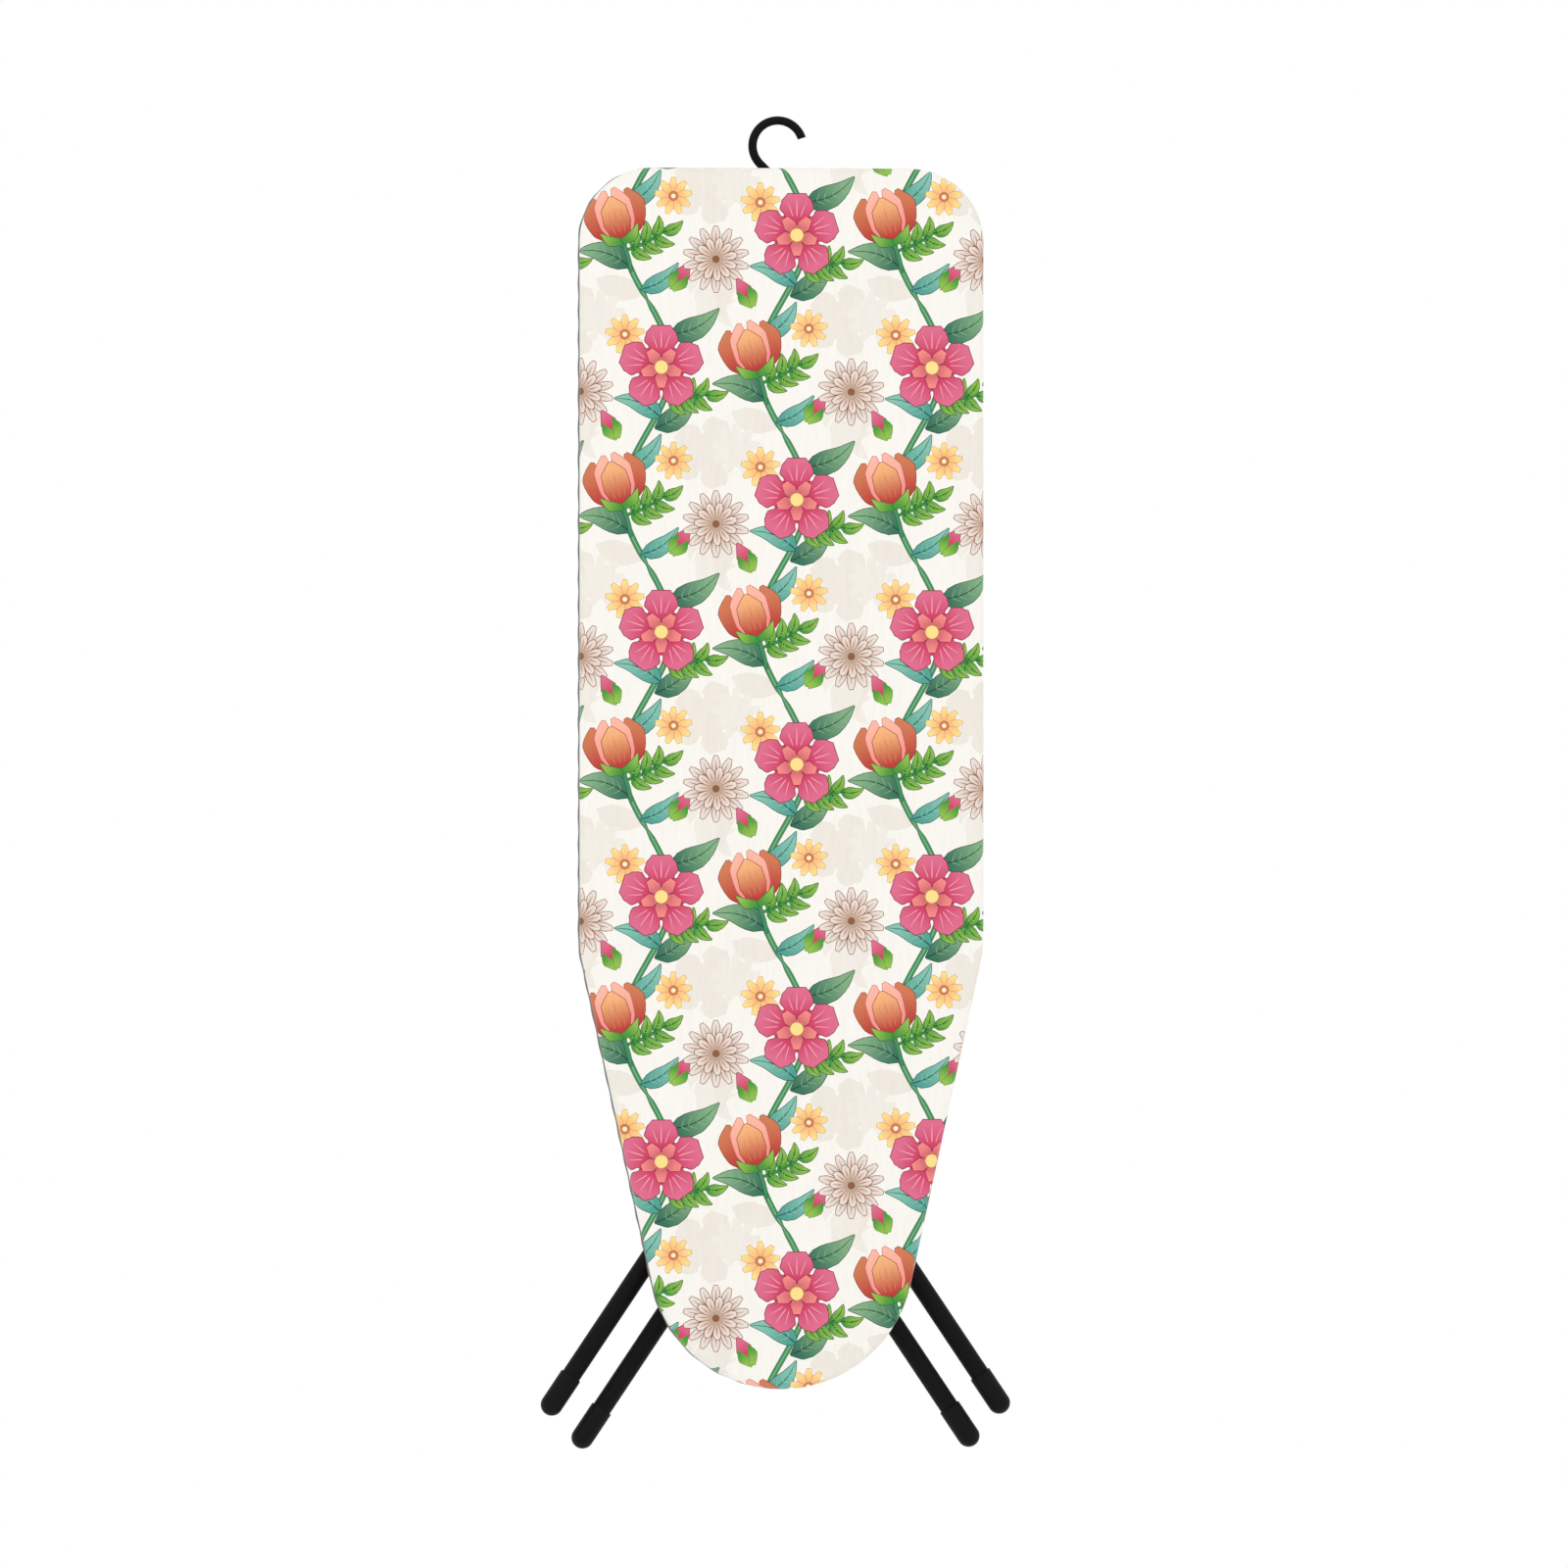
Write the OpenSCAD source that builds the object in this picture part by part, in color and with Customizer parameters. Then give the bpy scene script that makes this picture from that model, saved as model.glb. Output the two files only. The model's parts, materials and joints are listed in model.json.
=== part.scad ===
// Folding ironing board, hung by its heel hook with both leg frames folded.
// The board hangs in the XZ plane: +Z is towards the heel, the ironing face
// looks along -Y, and the origin is the inside top of the hook's arc.

/* [Board] */
// Length of the covered board, heel edge to nose tip
board_l = 1200; // [1000:5:1450]
// Width of the covered board between its parallel sides
board_w = 400; // [340:5:480]
// Radius of the two heel corners
heel_corner_r = 73; // [50:1:110]
// Radius of the nose
nose_r = 131; // [110:1:150]
// Distance from the heel edge to where the sides start to taper
taper_start = 755; // [620:5:800]
// Radius of the bend where the sides start to taper
taper_bend_r = 120; // [60:5:150]

/* [Cover, pad and deck] */
// Thickness of the cotton cover
cover_t = 1; // [0.8:0.1:1.6]
// Width of the cover's gathered hem on the underside
hem_w = 34; // [22:1:36]
// Thickness of the felt pad
pad_t = 6; // [3:0.5:10]
// Thickness of the steel mesh deck
deck_t = 0.8; // [0.6:0.1:2]

/* [Rim and cross rails] */
// Diameter of the rim tube
rim_d = 16; // [14:0.5:20]
// Wall of every steel tube
tube_wall = 1.2; // [0.8:0.1:2]
// Width of a cross rail, along the board
rail_w = 24; // [20:1:30]
// Depth of a cross rail, out from the deck
rail_h = 10; // [8:0.5:13]
// Distance from the heel edge to the first plain cross rail
mid_rail_s = 690; // [600:5:740]
// Distance from the heel edge to the cross rail that carries the leg bumpers
nose_rail_s = 985; // [880:5:1000]

/* [Leg frames] */
// Diameter of the leg tubes
leg_d = 19; // [16:0.5:22]
// How much thinner than the legs the axles, the rest bar and the braces are
axle_step = 3; // [2.5:0.5:6]
// Half the spacing of the outer frame's tubes
outer_x = 100; // [92:1:112]
// Half the spacing of the inner frame's tubes
inner_x = 48; // [40:1:56]
// Distance from the heel edge to the outer frame's axle
outer_hinge_s = 150; // [145:1:170]
// Distance from the heel edge to the inner frame's axle
inner_hinge_s = 400; // [370:1:430]
// Outer frame's length, axle to foot centre, measured along the board
outer_leg_l = 1066; // [1000:1:1120]
// Inner frame's length, axle to foot centre, measured along the board
inner_leg_l = 848.5; // [800:0.5:900]
// Half the spread of the outer frame's feet
outer_foot_x = 222; // [190:1:260]
// Half the spread of the inner frame's feet
inner_foot_x = 191.6; // [160:0.2:210]
// Angle at which the lower legs splay outwards
splay = 33.9; // [28:0.1:38]
// Centreline radius of the bend above the splay
leg_bend_r = 60; // [45:1:70]
// Clear distance from the board's underside to the leg tubes' centre plane
leg_gap = 30; // [28:1:40]
// Height of the axles above the feet's centres with the legs open
stand_h = 774.5; // [740:0.5:800]

/* [Feet, hinges and catches] */
// Wall of the foot caps
cap_wall = 1.5; // [1:0.1:3]
// Length of the foot caps
cap_l = 45; // [35:1:55]
// Radial running clearance of the axles and the hook's eye
running_gap = 0.05; // [0.02:0.01:0.1]
// Clearance between a soft or sprung piece and its neighbour
soft_gap = 0.3; // [0.2:0.05:0.5]
// Wall of the plastic saddles round the axles
saddle_wall = 5; // [4:0.5:6]
// Width of a saddle along its axle
saddle_w = 14; // [12:1:16]
// Wall of the sleeves on the rest bar
sleeve_t = 1.5; // [1:0.1:2]
// Wall of the catch clips on the inner legs
clip_wall = 3; // [2.5:0.1:3.5]

/* [Hook] */
// Diameter of the hook's wire
hook_wire_d = 8.5; // [7:0.1:10]
// Centreline radius of the hook's arc
hook_r = 25; // [20:0.5:30]
// Height of the arc's centre above the heel edge
hook_rise = 23; // [20:0.5:30]
// Angle of the hook's tip above level
hook_tip_angle = 17.5; // [5:0.5:40]
// Bare strip between the cover's hem and the rail that carries the hook
hem_clear = 6; // [4:0.5:10]
// Clear distance from the board's underside to the hook's centre plane
hook_gap = 14; // [12:0.5:16]
// Diameter of the pivot rivet's shank
rivet_d = 8; // [6:0.5:9]

/* [Hidden] */
$fn = 64;
// Step of the outline's arcs, in degrees
arc_step = 3;
// Gap that keeps a bend and the straight after it apart as two clean solids
hairline = 0.001;

// Heights above the origin and planes across the board
hook_centre_z = -(hook_r - hook_wire_d / 2);
heel_z = hook_centre_z - hook_rise;
rim_r = rim_d / 2;
under_y = -hook_gap;
rim_y = under_y - cover_t - rim_r;
deck_y = rim_y - rim_r - deck_t;
pad_y = deck_y - pad_t;
face_y = pad_y - cover_t;
leg_y = under_y + leg_gap;
rail_back_y = rim_y - rim_r + rail_h;

// The rim tube lies just inside the cover, and the deck's edge rests on it
edge_gap = 0.1;
deck_rest = 3;
rim_inset = cover_t + edge_gap + rim_r;
deck_inset = rim_inset - deck_rest;
pad_inset = cover_t + edge_gap;

// The taper is the common tangent of the bend's circle and the nose circle
bend_c = [board_w / 2 - taper_bend_r, taper_start];
nose_c = [0, board_l - nose_r];
bend_to_nose = nose_c - bend_c;
taper_angle = asin((taper_bend_r - nose_r) / norm(bend_to_nose))
  + atan2(-bend_to_nose[0], bend_to_nose[1]);
taper_normal = [cos(taper_angle), sin(taper_angle)];

// Gap that a weld bead fills where a rail meets the rim
weld_gap = 0.2;

// Legs
axle_r = (leg_d - axle_step) / 2;
leg_r = leg_d / 2;
outer_bend_s = outer_hinge_s + outer_leg_l - (outer_foot_x - outer_x) / tan(splay);
inner_bend_s = inner_hinge_s + inner_leg_l - (inner_foot_x - inner_x) / tan(splay);
outer_open = asin(stand_h / outer_leg_l);
inner_open = 180 - asin(stand_h / inner_leg_l);
// The open inner legs rest on the bar, which sets the bar's place on the outer frame
rest_offset = leg_r + sleeve_t + axle_r + soft_gap;
rest_reach = ((inner_hinge_s - outer_hinge_s) * sin(inner_open) - rest_offset)
  / sin(inner_open - outer_open);
rest_bar_s = outer_hinge_s + rest_reach;
// Where the rest bar meets the inner legs, measured from the inner axle
catch_reach = (outer_hinge_s - inner_hinge_s) * cos(inner_open)
  + rest_reach * cos(inner_open - outer_open);
sleeve_r = axle_r + sleeve_t;
sleeve_l = 30;
clip_w = 18;
clip_lip = 3;

// Axle ends: the saddle sits outside the leg tube and a flanged plug ends the axle
saddle_r = axle_r + saddle_wall;
saddle_side_gap = 1.5;
plug_flange = 2;
plug_lip = 1.5;
plug_l = 14;
// How far a shank runs into its head
bite = 0.25;
outer_saddle_x = outer_x + leg_r + saddle_side_gap + saddle_w / 2;
inner_saddle_x = inner_x + leg_r + saddle_side_gap + saddle_w / 2;
saddle_base_w = 44;
saddle_base_t = 4;
screw_d = 5;
screw_head_d = 9;
screw_head_h = 2.6;
screw_x = 15.5;
brace_s = [inner_hinge_s + 120, inner_hinge_s + 530];
bumper_w = 76;
bumper_l = 20;

// Hook: its pivot's rail clears the hem, and its washer keeps the wire off the bracket
wire_r = hook_wire_d / 2;
hook_pivot_s = hem_w + hem_clear + rail_w / 2;
hook_pivot_z = heel_z - hook_pivot_s;
shank_angle = 45;
shank_bend_r = 15;
hook_eye_r = 12.5;
hook_eye_t = 6;
washer_r = 9;
bracket_t = 2.5;
bracket_flange = 16;
bracket_half = 15;
washer_t = wire_r + soft_gap - hook_eye_t / 2;
rivet_head_r = 7;
rivet_head_h = 2.5;

// ---- helpers ----

// Height of a point that is s from the heel edge
function z_at(s) = heel_z - s;

// Extrudes a shape drawn in (x, z) from y0 over a thickness t towards +Y
module slab(y0, t) {
  translate([0, y0 + t, 0])
    rotate([90, 0, 0])
      linear_extrude(t)
        children();
}

// Places children at x, at s from the heel edge, in the plane y
module at(x, s, y) {
  translate([x, y, z_at(s)])
    children();
}

// A round bar along X, centred
module bar_x(r, l) {
  rotate([0, 90, 0])
    cylinder(r = r, h = l, center = true);
}

// A round bar along Y from the origin
module bar_y(r, l) {
  rotate([-90, 0, 0])
    cylinder(r = r, h = l);
}

// Draws children and their mirror image across the YZ plane
module both_sides() {
  children();
  mirror([1, 0, 0])
    children();
}

// Points along an arc round centre c, given as (x, s), between angles a0 and a1, both included
function arc(c, r, a0, a1) =
  let (n = ceil(abs(a1 - a0) / arc_step))
  [for (i = [0:n]) let (a = a0 + (a1 - a0) * i / n) c + r * [cos(a), sin(a)]];

// The right half of the board's outline as (x, s), inset by d: heel corner, bend, nose
function right_side(d) = concat(
  arc([board_w / 2 - heel_corner_r, heel_corner_r], heel_corner_r - d, -90, 0),
  arc(bend_c, taper_bend_r - d, 0, taper_angle),
  arc(nose_c, nose_r - d, taper_angle, 90)
);

// The board's outline in (x, z), inset by d all round
module outline(d) {
  side = right_side(d);
  polygon(concat(
    [for (p = side) [p[0], z_at(p[1])]],
    [for (i = [len(side) - 2:-1:0]) [-side[i][0], z_at(side[i][1])]]
  ));
}

// The cross-section of a bar, or of a tube where wall is over 0
module section(r, wall) {
  difference() {
    circle(r = r);
    if (wall > 0)
      circle(r = r - wall);
  }
}

// A bent tube in the XZ plane, from the origin towards +Z. Each step is a straight
// length, then a bend's radius and its turn in degrees, positive towards +X.
module tube_run(steps, r, wall = 0, i = 0) {
  length = steps[i][0];
  bend_r = steps[i][1];
  turn = steps[i][2];
  if (length > 0)
    linear_extrude(length)
      section(r, wall);
  translate([0, 0, length]) {
    if (turn != 0)
      mirror([turn > 0 ? 1 : 0, 0, 0])
        translate([-bend_r, 0, 0])
          rotate([90, 0, 0])
            rotate_extrude(angle = abs(turn))
              translate([bend_r, 0])
                section(r, wall);
    if (i + 1 < len(steps))
      translate([sign(turn) * bend_r * (1 - cos(turn)), 0, bend_r * sin(abs(turn))])
        rotate([0, turn, 0])
          translate([0, 0, hairline])
            tube_run(steps, r, wall, i + 1);
  }
}

// Distance from the board's middle to the rim tube's centreline at s
function rim_x(s) =
  s > taper_start
  ? (bend_c[0] + (taper_bend_r - rim_inset) / cos(taper_angle)
     - (s - taper_start) * tan(taper_angle))
  : board_w / 2 - rim_inset;

// Everything outside the rim tube's inner line round the heel corners, for a rail at s
module outside_heel_corners(s) {
  corner_x = board_w / 2 - heel_corner_r;
  inner_r = heel_corner_r - rim_inset - rim_r - weld_gap;
  both_sides()
    difference() {
      translate([corner_x, -rim_d, s - heel_corner_r])
        cube([board_w, 2 * rim_d, board_w]);
      translate([corner_x, -rim_d, s - heel_corner_r])
        bar_y(inner_r, 2 * rim_d);
    }
}

// A cross rail: a rectangular tube across the board, coped to the rim tube
module cross_rail(s) {
  color("black")
    at(0, s, rim_y - rim_r + rail_h / 2)
      difference() {
        cube([board_w, rail_h, rail_w], center = true);
        cube([2 * board_w, rail_h - 2 * tube_wall, rail_w - 2 * tube_wall], center = true);
        if (s - rail_w / 2 < heel_corner_r)
          outside_heel_corners(s);
        both_sides()
          translate([rim_x(s), rim_r - rail_h / 2, 0])
            rotate([0, s > taper_start ? taper_angle : 0, 0]) {
              cylinder(r = rim_r + weld_gap, h = 6 * rail_w, center = true);
              translate([board_w / 2, 0, 0])
                cube([board_w, 6 * rim_d, 6 * rail_w], center = true);
            }
      }
}

// ---- board ----

module cover() {
  color("ghostwhite") {
    slab(face_y, cover_t)
      outline(0);
    slab(face_y + cover_t, under_y - face_y - 2 * cover_t)
      difference() {
        outline(0);
        outline(cover_t);
      }
    slab(under_y - cover_t, cover_t)
      difference() {
        outline(0);
        outline(hem_w);
      }
  }
}

module pad() {
  color("gainsboro")
    slab(pad_y, pad_t)
      outline(pad_inset);
}

module deck() {
  color("dimgray")
    slab(deck_y, deck_t)
      outline(deck_inset);
}

module rim_heel() {
  corner_bend_r = heel_corner_r - rim_inset;
  color("black")
    at(rim_inset - board_w / 2, heel_corner_r, rim_y)
      tube_run(
        [[0, corner_bend_r, 90], [board_w - 2 * heel_corner_r, corner_bend_r, 90]],
        rim_r,
        tube_wall
      );
}

module rim_side() {
  color("black")
    at(board_w / 2 - rim_inset, taper_start, rim_y)
      tube_run([[taper_start - heel_corner_r, 0, 0]], rim_r, tube_wall);
}

module rim_left() {
  mirror([1, 0, 0])
    rim_side();
}

module rim_right() {
  rim_side();
}

// A tapered side rises tangent to the nose and ends in the bend below the straight side
module rim_taper() {
  taper_l = norm(bend_to_nose + (nose_r - taper_bend_r) * taper_normal);
  foot = nose_c + (nose_r - rim_inset) * taper_normal;
  color("black")
    at(foot[0], foot[1], rim_y)
      rotate([0, taper_angle, 0])
        tube_run([[taper_l, taper_bend_r - rim_inset, -taper_angle]], rim_r, tube_wall);
}

module rim_taper_left() {
  mirror([1, 0, 0])
    rim_taper();
}

module rim_taper_right() {
  rim_taper();
}

module rim_nose() {
  bend_r = nose_r - rim_inset;
  color("black")
    at(nose_c[0], nose_c[1], rim_y)
      rotate([0, 90 + taper_angle, 0])
        translate([0, 0, bend_r])
          rotate([0, 90, 0])
            tube_run([[0, bend_r, 180 - 2 * taper_angle]], rim_r, tube_wall);
}

module heel_rail() {
  cross_rail(hook_pivot_s);
}

module outer_axle_rail() {
  cross_rail(outer_hinge_s);
}

module inner_axle_rail() {
  cross_rail(inner_hinge_s);
}

module middle_rail() {
  cross_rail(mid_rail_s);
}

module nose_rail() {
  cross_rail(nose_rail_s);
}

// ---- hook and its pivot ----

// The bracket is a hat section that stands the hook's pivot off the heel rail
bracket_face_y = -hook_eye_t / 2 - washer_t;

module hook_bracket() {
  h = bracket_face_y - rail_back_y;
  color("black")
    difference() {
      at(0, hook_pivot_s, rail_back_y)
        union() {
          both_sides() {
            translate([bracket_half - bracket_t, 0, -rail_w / 2])
              cube([bracket_flange + bracket_t, bracket_t, rail_w]);
            translate([bracket_half - bracket_t, 0, -rail_w / 2])
              cube([bracket_t, h, rail_w]);
          }
          translate([-bracket_half, h - bracket_t, -rail_w / 2])
            cube([2 * bracket_half, bracket_t, rail_w]);
        }
      at(0, hook_pivot_s, rail_back_y)
        bar_y(rivet_d / 2, 2 * h);
    }
}

module hook_washer() {
  color("dimgray")
    difference() {
      at(0, hook_pivot_s, bracket_face_y)
        bar_y(washer_r, washer_t);
      at(0, hook_pivot_s, bracket_face_y - washer_t)
        bar_y(rivet_d / 2, 3 * washer_t);
    }
}

module hook_rivet() {
  inner_y = bracket_face_y - bracket_t - rivet_head_h;
  outer_y = hook_eye_t / 2 + soft_gap;
  color("silver") {
    at(0, hook_pivot_s, inner_y)
      bar_y(rivet_head_r, rivet_head_h);
    at(0, hook_pivot_s, inner_y)
      bar_y(rivet_d / 2, outer_y - inner_y + bite);
    at(0, hook_pivot_s, outer_y)
      bar_y(rivet_head_r, rivet_head_h);
  }
}

// The shank rises from the eye, slants to one side and runs on into the arc
module hook() {
  arc_turn = 180 + shank_angle - hook_tip_angle;
  bend_tangent = shank_bend_r * tan(shank_angle / 2);
  side_reach = hook_r * sin(shank_angle);
  meet_z = hook_centre_z - side_reach - side_reach / tan(shank_angle);
  wire_start = washer_r + soft_gap;
  color("black")
    at(0, hook_pivot_s, 0)
      difference() {
        union() {
          translate([0, 0, wire_start])
            tube_run(
              [
                [meet_z - bend_tangent - hook_pivot_z - wire_start, shank_bend_r, -shank_angle],
                [side_reach / sin(shank_angle) - bend_tangent, hook_r, arc_turn]
              ],
              wire_r
            );
          translate([0, -hook_eye_t / 2, 0])
            bar_y(hook_eye_r, hook_eye_t);
        }
        translate([0, -hook_eye_t, 0])
          bar_y(rivet_d / 2 + running_gap, 2 * hook_eye_t);
      }
}

// ---- hinge saddles ----

// A saddle is a base screwed to a rail and a round-ended upright bored for the axle
module saddle(x, s) {
  h = leg_y - rail_back_y;
  color("dimgray")
    difference() {
      at(x, s, rail_back_y)
        union() {
          translate([-saddle_base_w / 2, 0, -rail_w / 2])
            cube([saddle_base_w, saddle_base_t, rail_w]);
          translate([-saddle_w / 2, 0, -rail_w / 2])
            cube([saddle_w, h, rail_w]);
          translate([0, h, 0])
            bar_x(saddle_r, saddle_w);
        }
      at(x, s, leg_y)
        bar_x(axle_r + running_gap, 2 * saddle_w);
      for (side = [-1, 1])
        at(x + side * screw_x, s, rim_y)
          bar_y(screw_d / 2, leg_gap);
    }
}

module outer_saddle_left() {
  saddle(-outer_saddle_x, outer_hinge_s);
}

module outer_saddle_right() {
  saddle(outer_saddle_x, outer_hinge_s);
}

module inner_saddle_left() {
  saddle(-inner_saddle_x, inner_hinge_s);
}

module inner_saddle_right() {
  saddle(inner_saddle_x, inner_hinge_s);
}

// Domed tapping screws seated on the saddle bases, ending above the rail's wall
module saddle_screws() {
  color("silver")
    for (seat = [[outer_saddle_x, outer_hinge_s], [inner_saddle_x, inner_hinge_s]])
      both_sides()
        for (side = [-1, 1])
          at(seat[0] + side * screw_x, seat[1], rail_back_y) {
            bar_y(screw_d / 2, saddle_base_t + bite);
            translate([0, saddle_base_t, 0])
              bar_y(screw_head_d / 2, screw_head_h);
          }
}

// Soft block on the nose rail that both folded frames lie against, cut back where it
// would meet the cover's hem
module leg_bumper(side) {
  mid_x = (outer_x + inner_x) / 2;
  color("dimgray")
    difference() {
      at(side * mid_x, nose_rail_s, (rail_back_y + leg_y) / 2)
        cube([bumper_w, leg_y - rail_back_y, bumper_l], center = true);
      slab(rim_y, under_y + soft_gap - rim_y)
        difference() {
          square([2 * board_w, 4 * board_l], center = true);
          outline(hem_w + soft_gap);
        }
      for (x = [inner_x, outer_x])
        at(side * x, nose_rail_s + bumper_l, leg_y)
          cylinder(r = leg_r + soft_gap, h = 2 * bumper_l);
      at(side * mid_x, nose_rail_s, leg_y)
        cube([2 * bumper_w, leg_r, 2 * bumper_l], center = true);
    }
}

module leg_bumper_left() {
  leg_bumper(-1);
}

module leg_bumper_right() {
  leg_bumper(1);
}

// ---- leg frames ----

// A right leg: straight from its axle, then bent outwards to its foot
module leg(x, hinge_s, bend_s, foot_x) {
  tangent = leg_bend_r * tan(splay / 2);
  color("black")
    at(x, hinge_s, leg_y)
      difference() {
        rotate([0, 180, 0])
          tube_run(
            [
              [bend_s - tangent - hinge_s, leg_bend_r, -splay],
              [(foot_x - x) / sin(splay) - tangent, 0, 0]
            ],
            leg_r,
            tube_wall
          );
        bar_x(axle_r, 4 * leg_d);
      }
}

module outer_leg() {
  leg(outer_x, outer_hinge_s, outer_bend_s, outer_foot_x);
}

module inner_leg() {
  leg(inner_x, inner_hinge_s, inner_bend_s, inner_foot_x);
}

module outer_leg_left() {
  mirror([1, 0, 0])
    outer_leg();
}

module outer_leg_right() {
  outer_leg();
}

module inner_leg_left() {
  mirror([1, 0, 0])
    inner_leg();
}

module inner_leg_right() {
  inner_leg();
}

// An axle reaches through both saddles
function axle_l(saddle_x) = 2 * (saddle_x + saddle_w / 2 + saddle_side_gap);

module axle(saddle_x, s) {
  color("black")
    at(0, s, leg_y)
      difference() {
        bar_x(axle_r, axle_l(saddle_x));
        bar_x(axle_r - tube_wall, 2 * axle_l(saddle_x));
      }
}

module outer_axle() {
  axle(outer_saddle_x, outer_hinge_s);
}

module inner_axle() {
  axle(inner_saddle_x, inner_hinge_s);
}

// Flanged plugs close the axle's ends and keep it in its saddles
module axle_plugs(saddle_x, s) {
  color("dimgray")
    both_sides()
      at(axle_l(saddle_x) / 2, s, leg_y) {
        translate([plug_flange / 2, 0, 0])
          bar_x(axle_r + plug_lip, plug_flange);
        translate([(bite - plug_l) / 2, 0, 0])
          bar_x(axle_r - tube_wall, plug_l + bite);
      }
}

module outer_axle_plugs() {
  axle_plugs(outer_saddle_x, outer_hinge_s);
}

module inner_axle_plugs() {
  axle_plugs(inner_saddle_x, inner_hinge_s);
}

// A cross tube welded between a frame's two legs, coped to them
module cross_tube(x, s) {
  color("black")
    difference() {
      at(0, s, leg_y)
        difference() {
          bar_x(axle_r, 2 * x);
          bar_x(axle_r - tube_wall, 4 * x);
        }
      both_sides()
        at(x, s + leg_d, leg_y)
          cylinder(r = leg_r, h = 2 * leg_d);
    }
}

module rest_bar() {
  cross_tube(outer_x, rest_bar_s);
}

module upper_brace() {
  cross_tube(inner_x, brace_s[0]);
}

module lower_brace() {
  cross_tube(inner_x, brace_s[1]);
}

// A plastic sleeve on the rest bar where an inner leg lies on it
module rest_sleeve(side) {
  color("dimgray")
    at(side * inner_x, rest_bar_s, leg_y)
      difference() {
        bar_x(sleeve_r, sleeve_l);
        bar_x(axle_r, 2 * sleeve_l);
      }
}

module rest_sleeve_left() {
  rest_sleeve(-1);
}

module rest_sleeve_right() {
  rest_sleeve(1);
}

// A clip round an inner leg with a cup behind it that takes the rest bar's sleeve
module catch_clip(side) {
  cup_r = sleeve_r + soft_gap;
  cup_out = cup_r + clip_wall;
  collar_r = leg_r + clip_wall;
  reach = rest_offset + clip_lip;
  color("dimgray")
    at(side * inner_x, inner_hinge_s + catch_reach, leg_y)
      difference() {
        union() {
          translate([0, 0, -cup_out])
            cylinder(r = collar_r, h = 2 * cup_out);
          translate([-clip_w / 2, 0, -cup_out])
            cube([clip_w, reach, 2 * cup_out]);
        }
        translate([0, 0, -2 * cup_out])
          cylinder(r = leg_r, h = 4 * cup_out);
        translate([0, rest_offset, 0])
          bar_x(cup_r, 4 * clip_w);
        translate([-2 * clip_w, rest_offset, -cup_r])
          cube([4 * clip_w, reach, 2 * cup_r]);
      }
}

module catch_clip_left() {
  catch_clip(-1);
}

module catch_clip_right() {
  catch_clip(1);
}

// A push-on cap with a round end over the splayed end of a leg
module foot_cap(foot_x, foot_s) {
  cap_r = leg_r + cap_wall;
  color("black")
    at(foot_x, foot_s, leg_y)
      rotate([0, -splay, 0])
        difference() {
          union() {
            sphere(r = cap_r);
            cylinder(r = cap_r, h = cap_l - cap_r);
          }
          cylinder(r = leg_r, h = cap_l);
        }
}

module outer_foot_right() {
  foot_cap(outer_foot_x, outer_hinge_s + outer_leg_l);
}

module outer_foot_left() {
  mirror([1, 0, 0])
    outer_foot_right();
}

module inner_foot_right() {
  foot_cap(inner_foot_x, inner_hinge_s + inner_leg_l);
}

module inner_foot_left() {
  mirror([1, 0, 0])
    inner_foot_right();
}

cover();
pad();
deck();
rim_heel();
rim_left();
rim_right();
rim_taper_left();
rim_taper_right();
rim_nose();
heel_rail();
outer_axle_rail();
inner_axle_rail();
middle_rail();
nose_rail();
hook_bracket();
hook_washer();
hook_rivet();
hook();
outer_saddle_left();
outer_saddle_right();
inner_saddle_left();
inner_saddle_right();
saddle_screws();
leg_bumper_left();
leg_bumper_right();
outer_axle();
outer_axle_plugs();
outer_leg_left();
outer_leg_right();
rest_bar();
rest_sleeve_left();
rest_sleeve_right();
outer_foot_left();
outer_foot_right();
inner_axle();
inner_axle_plugs();
inner_leg_left();
inner_leg_right();
upper_brace();
lower_brace();
catch_clip_left();
catch_clip_right();
inner_foot_left();
inner_foot_right();
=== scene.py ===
"""Looks of a folding ironing board that hangs by its heel hook.

Lengths of the cover's print and cut are in millimetres, as (x, s): x to the right of the board's
middle and s down from the heel edge. Everything that reaches a mesh is in metres, in the CAD frame.
"""

import json
import math

import bpy
import numpy as np
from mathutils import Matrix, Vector
from mathutils.bvhtree import BVHTree
from mathutils.geometry import delaunay_2d_cdt


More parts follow.
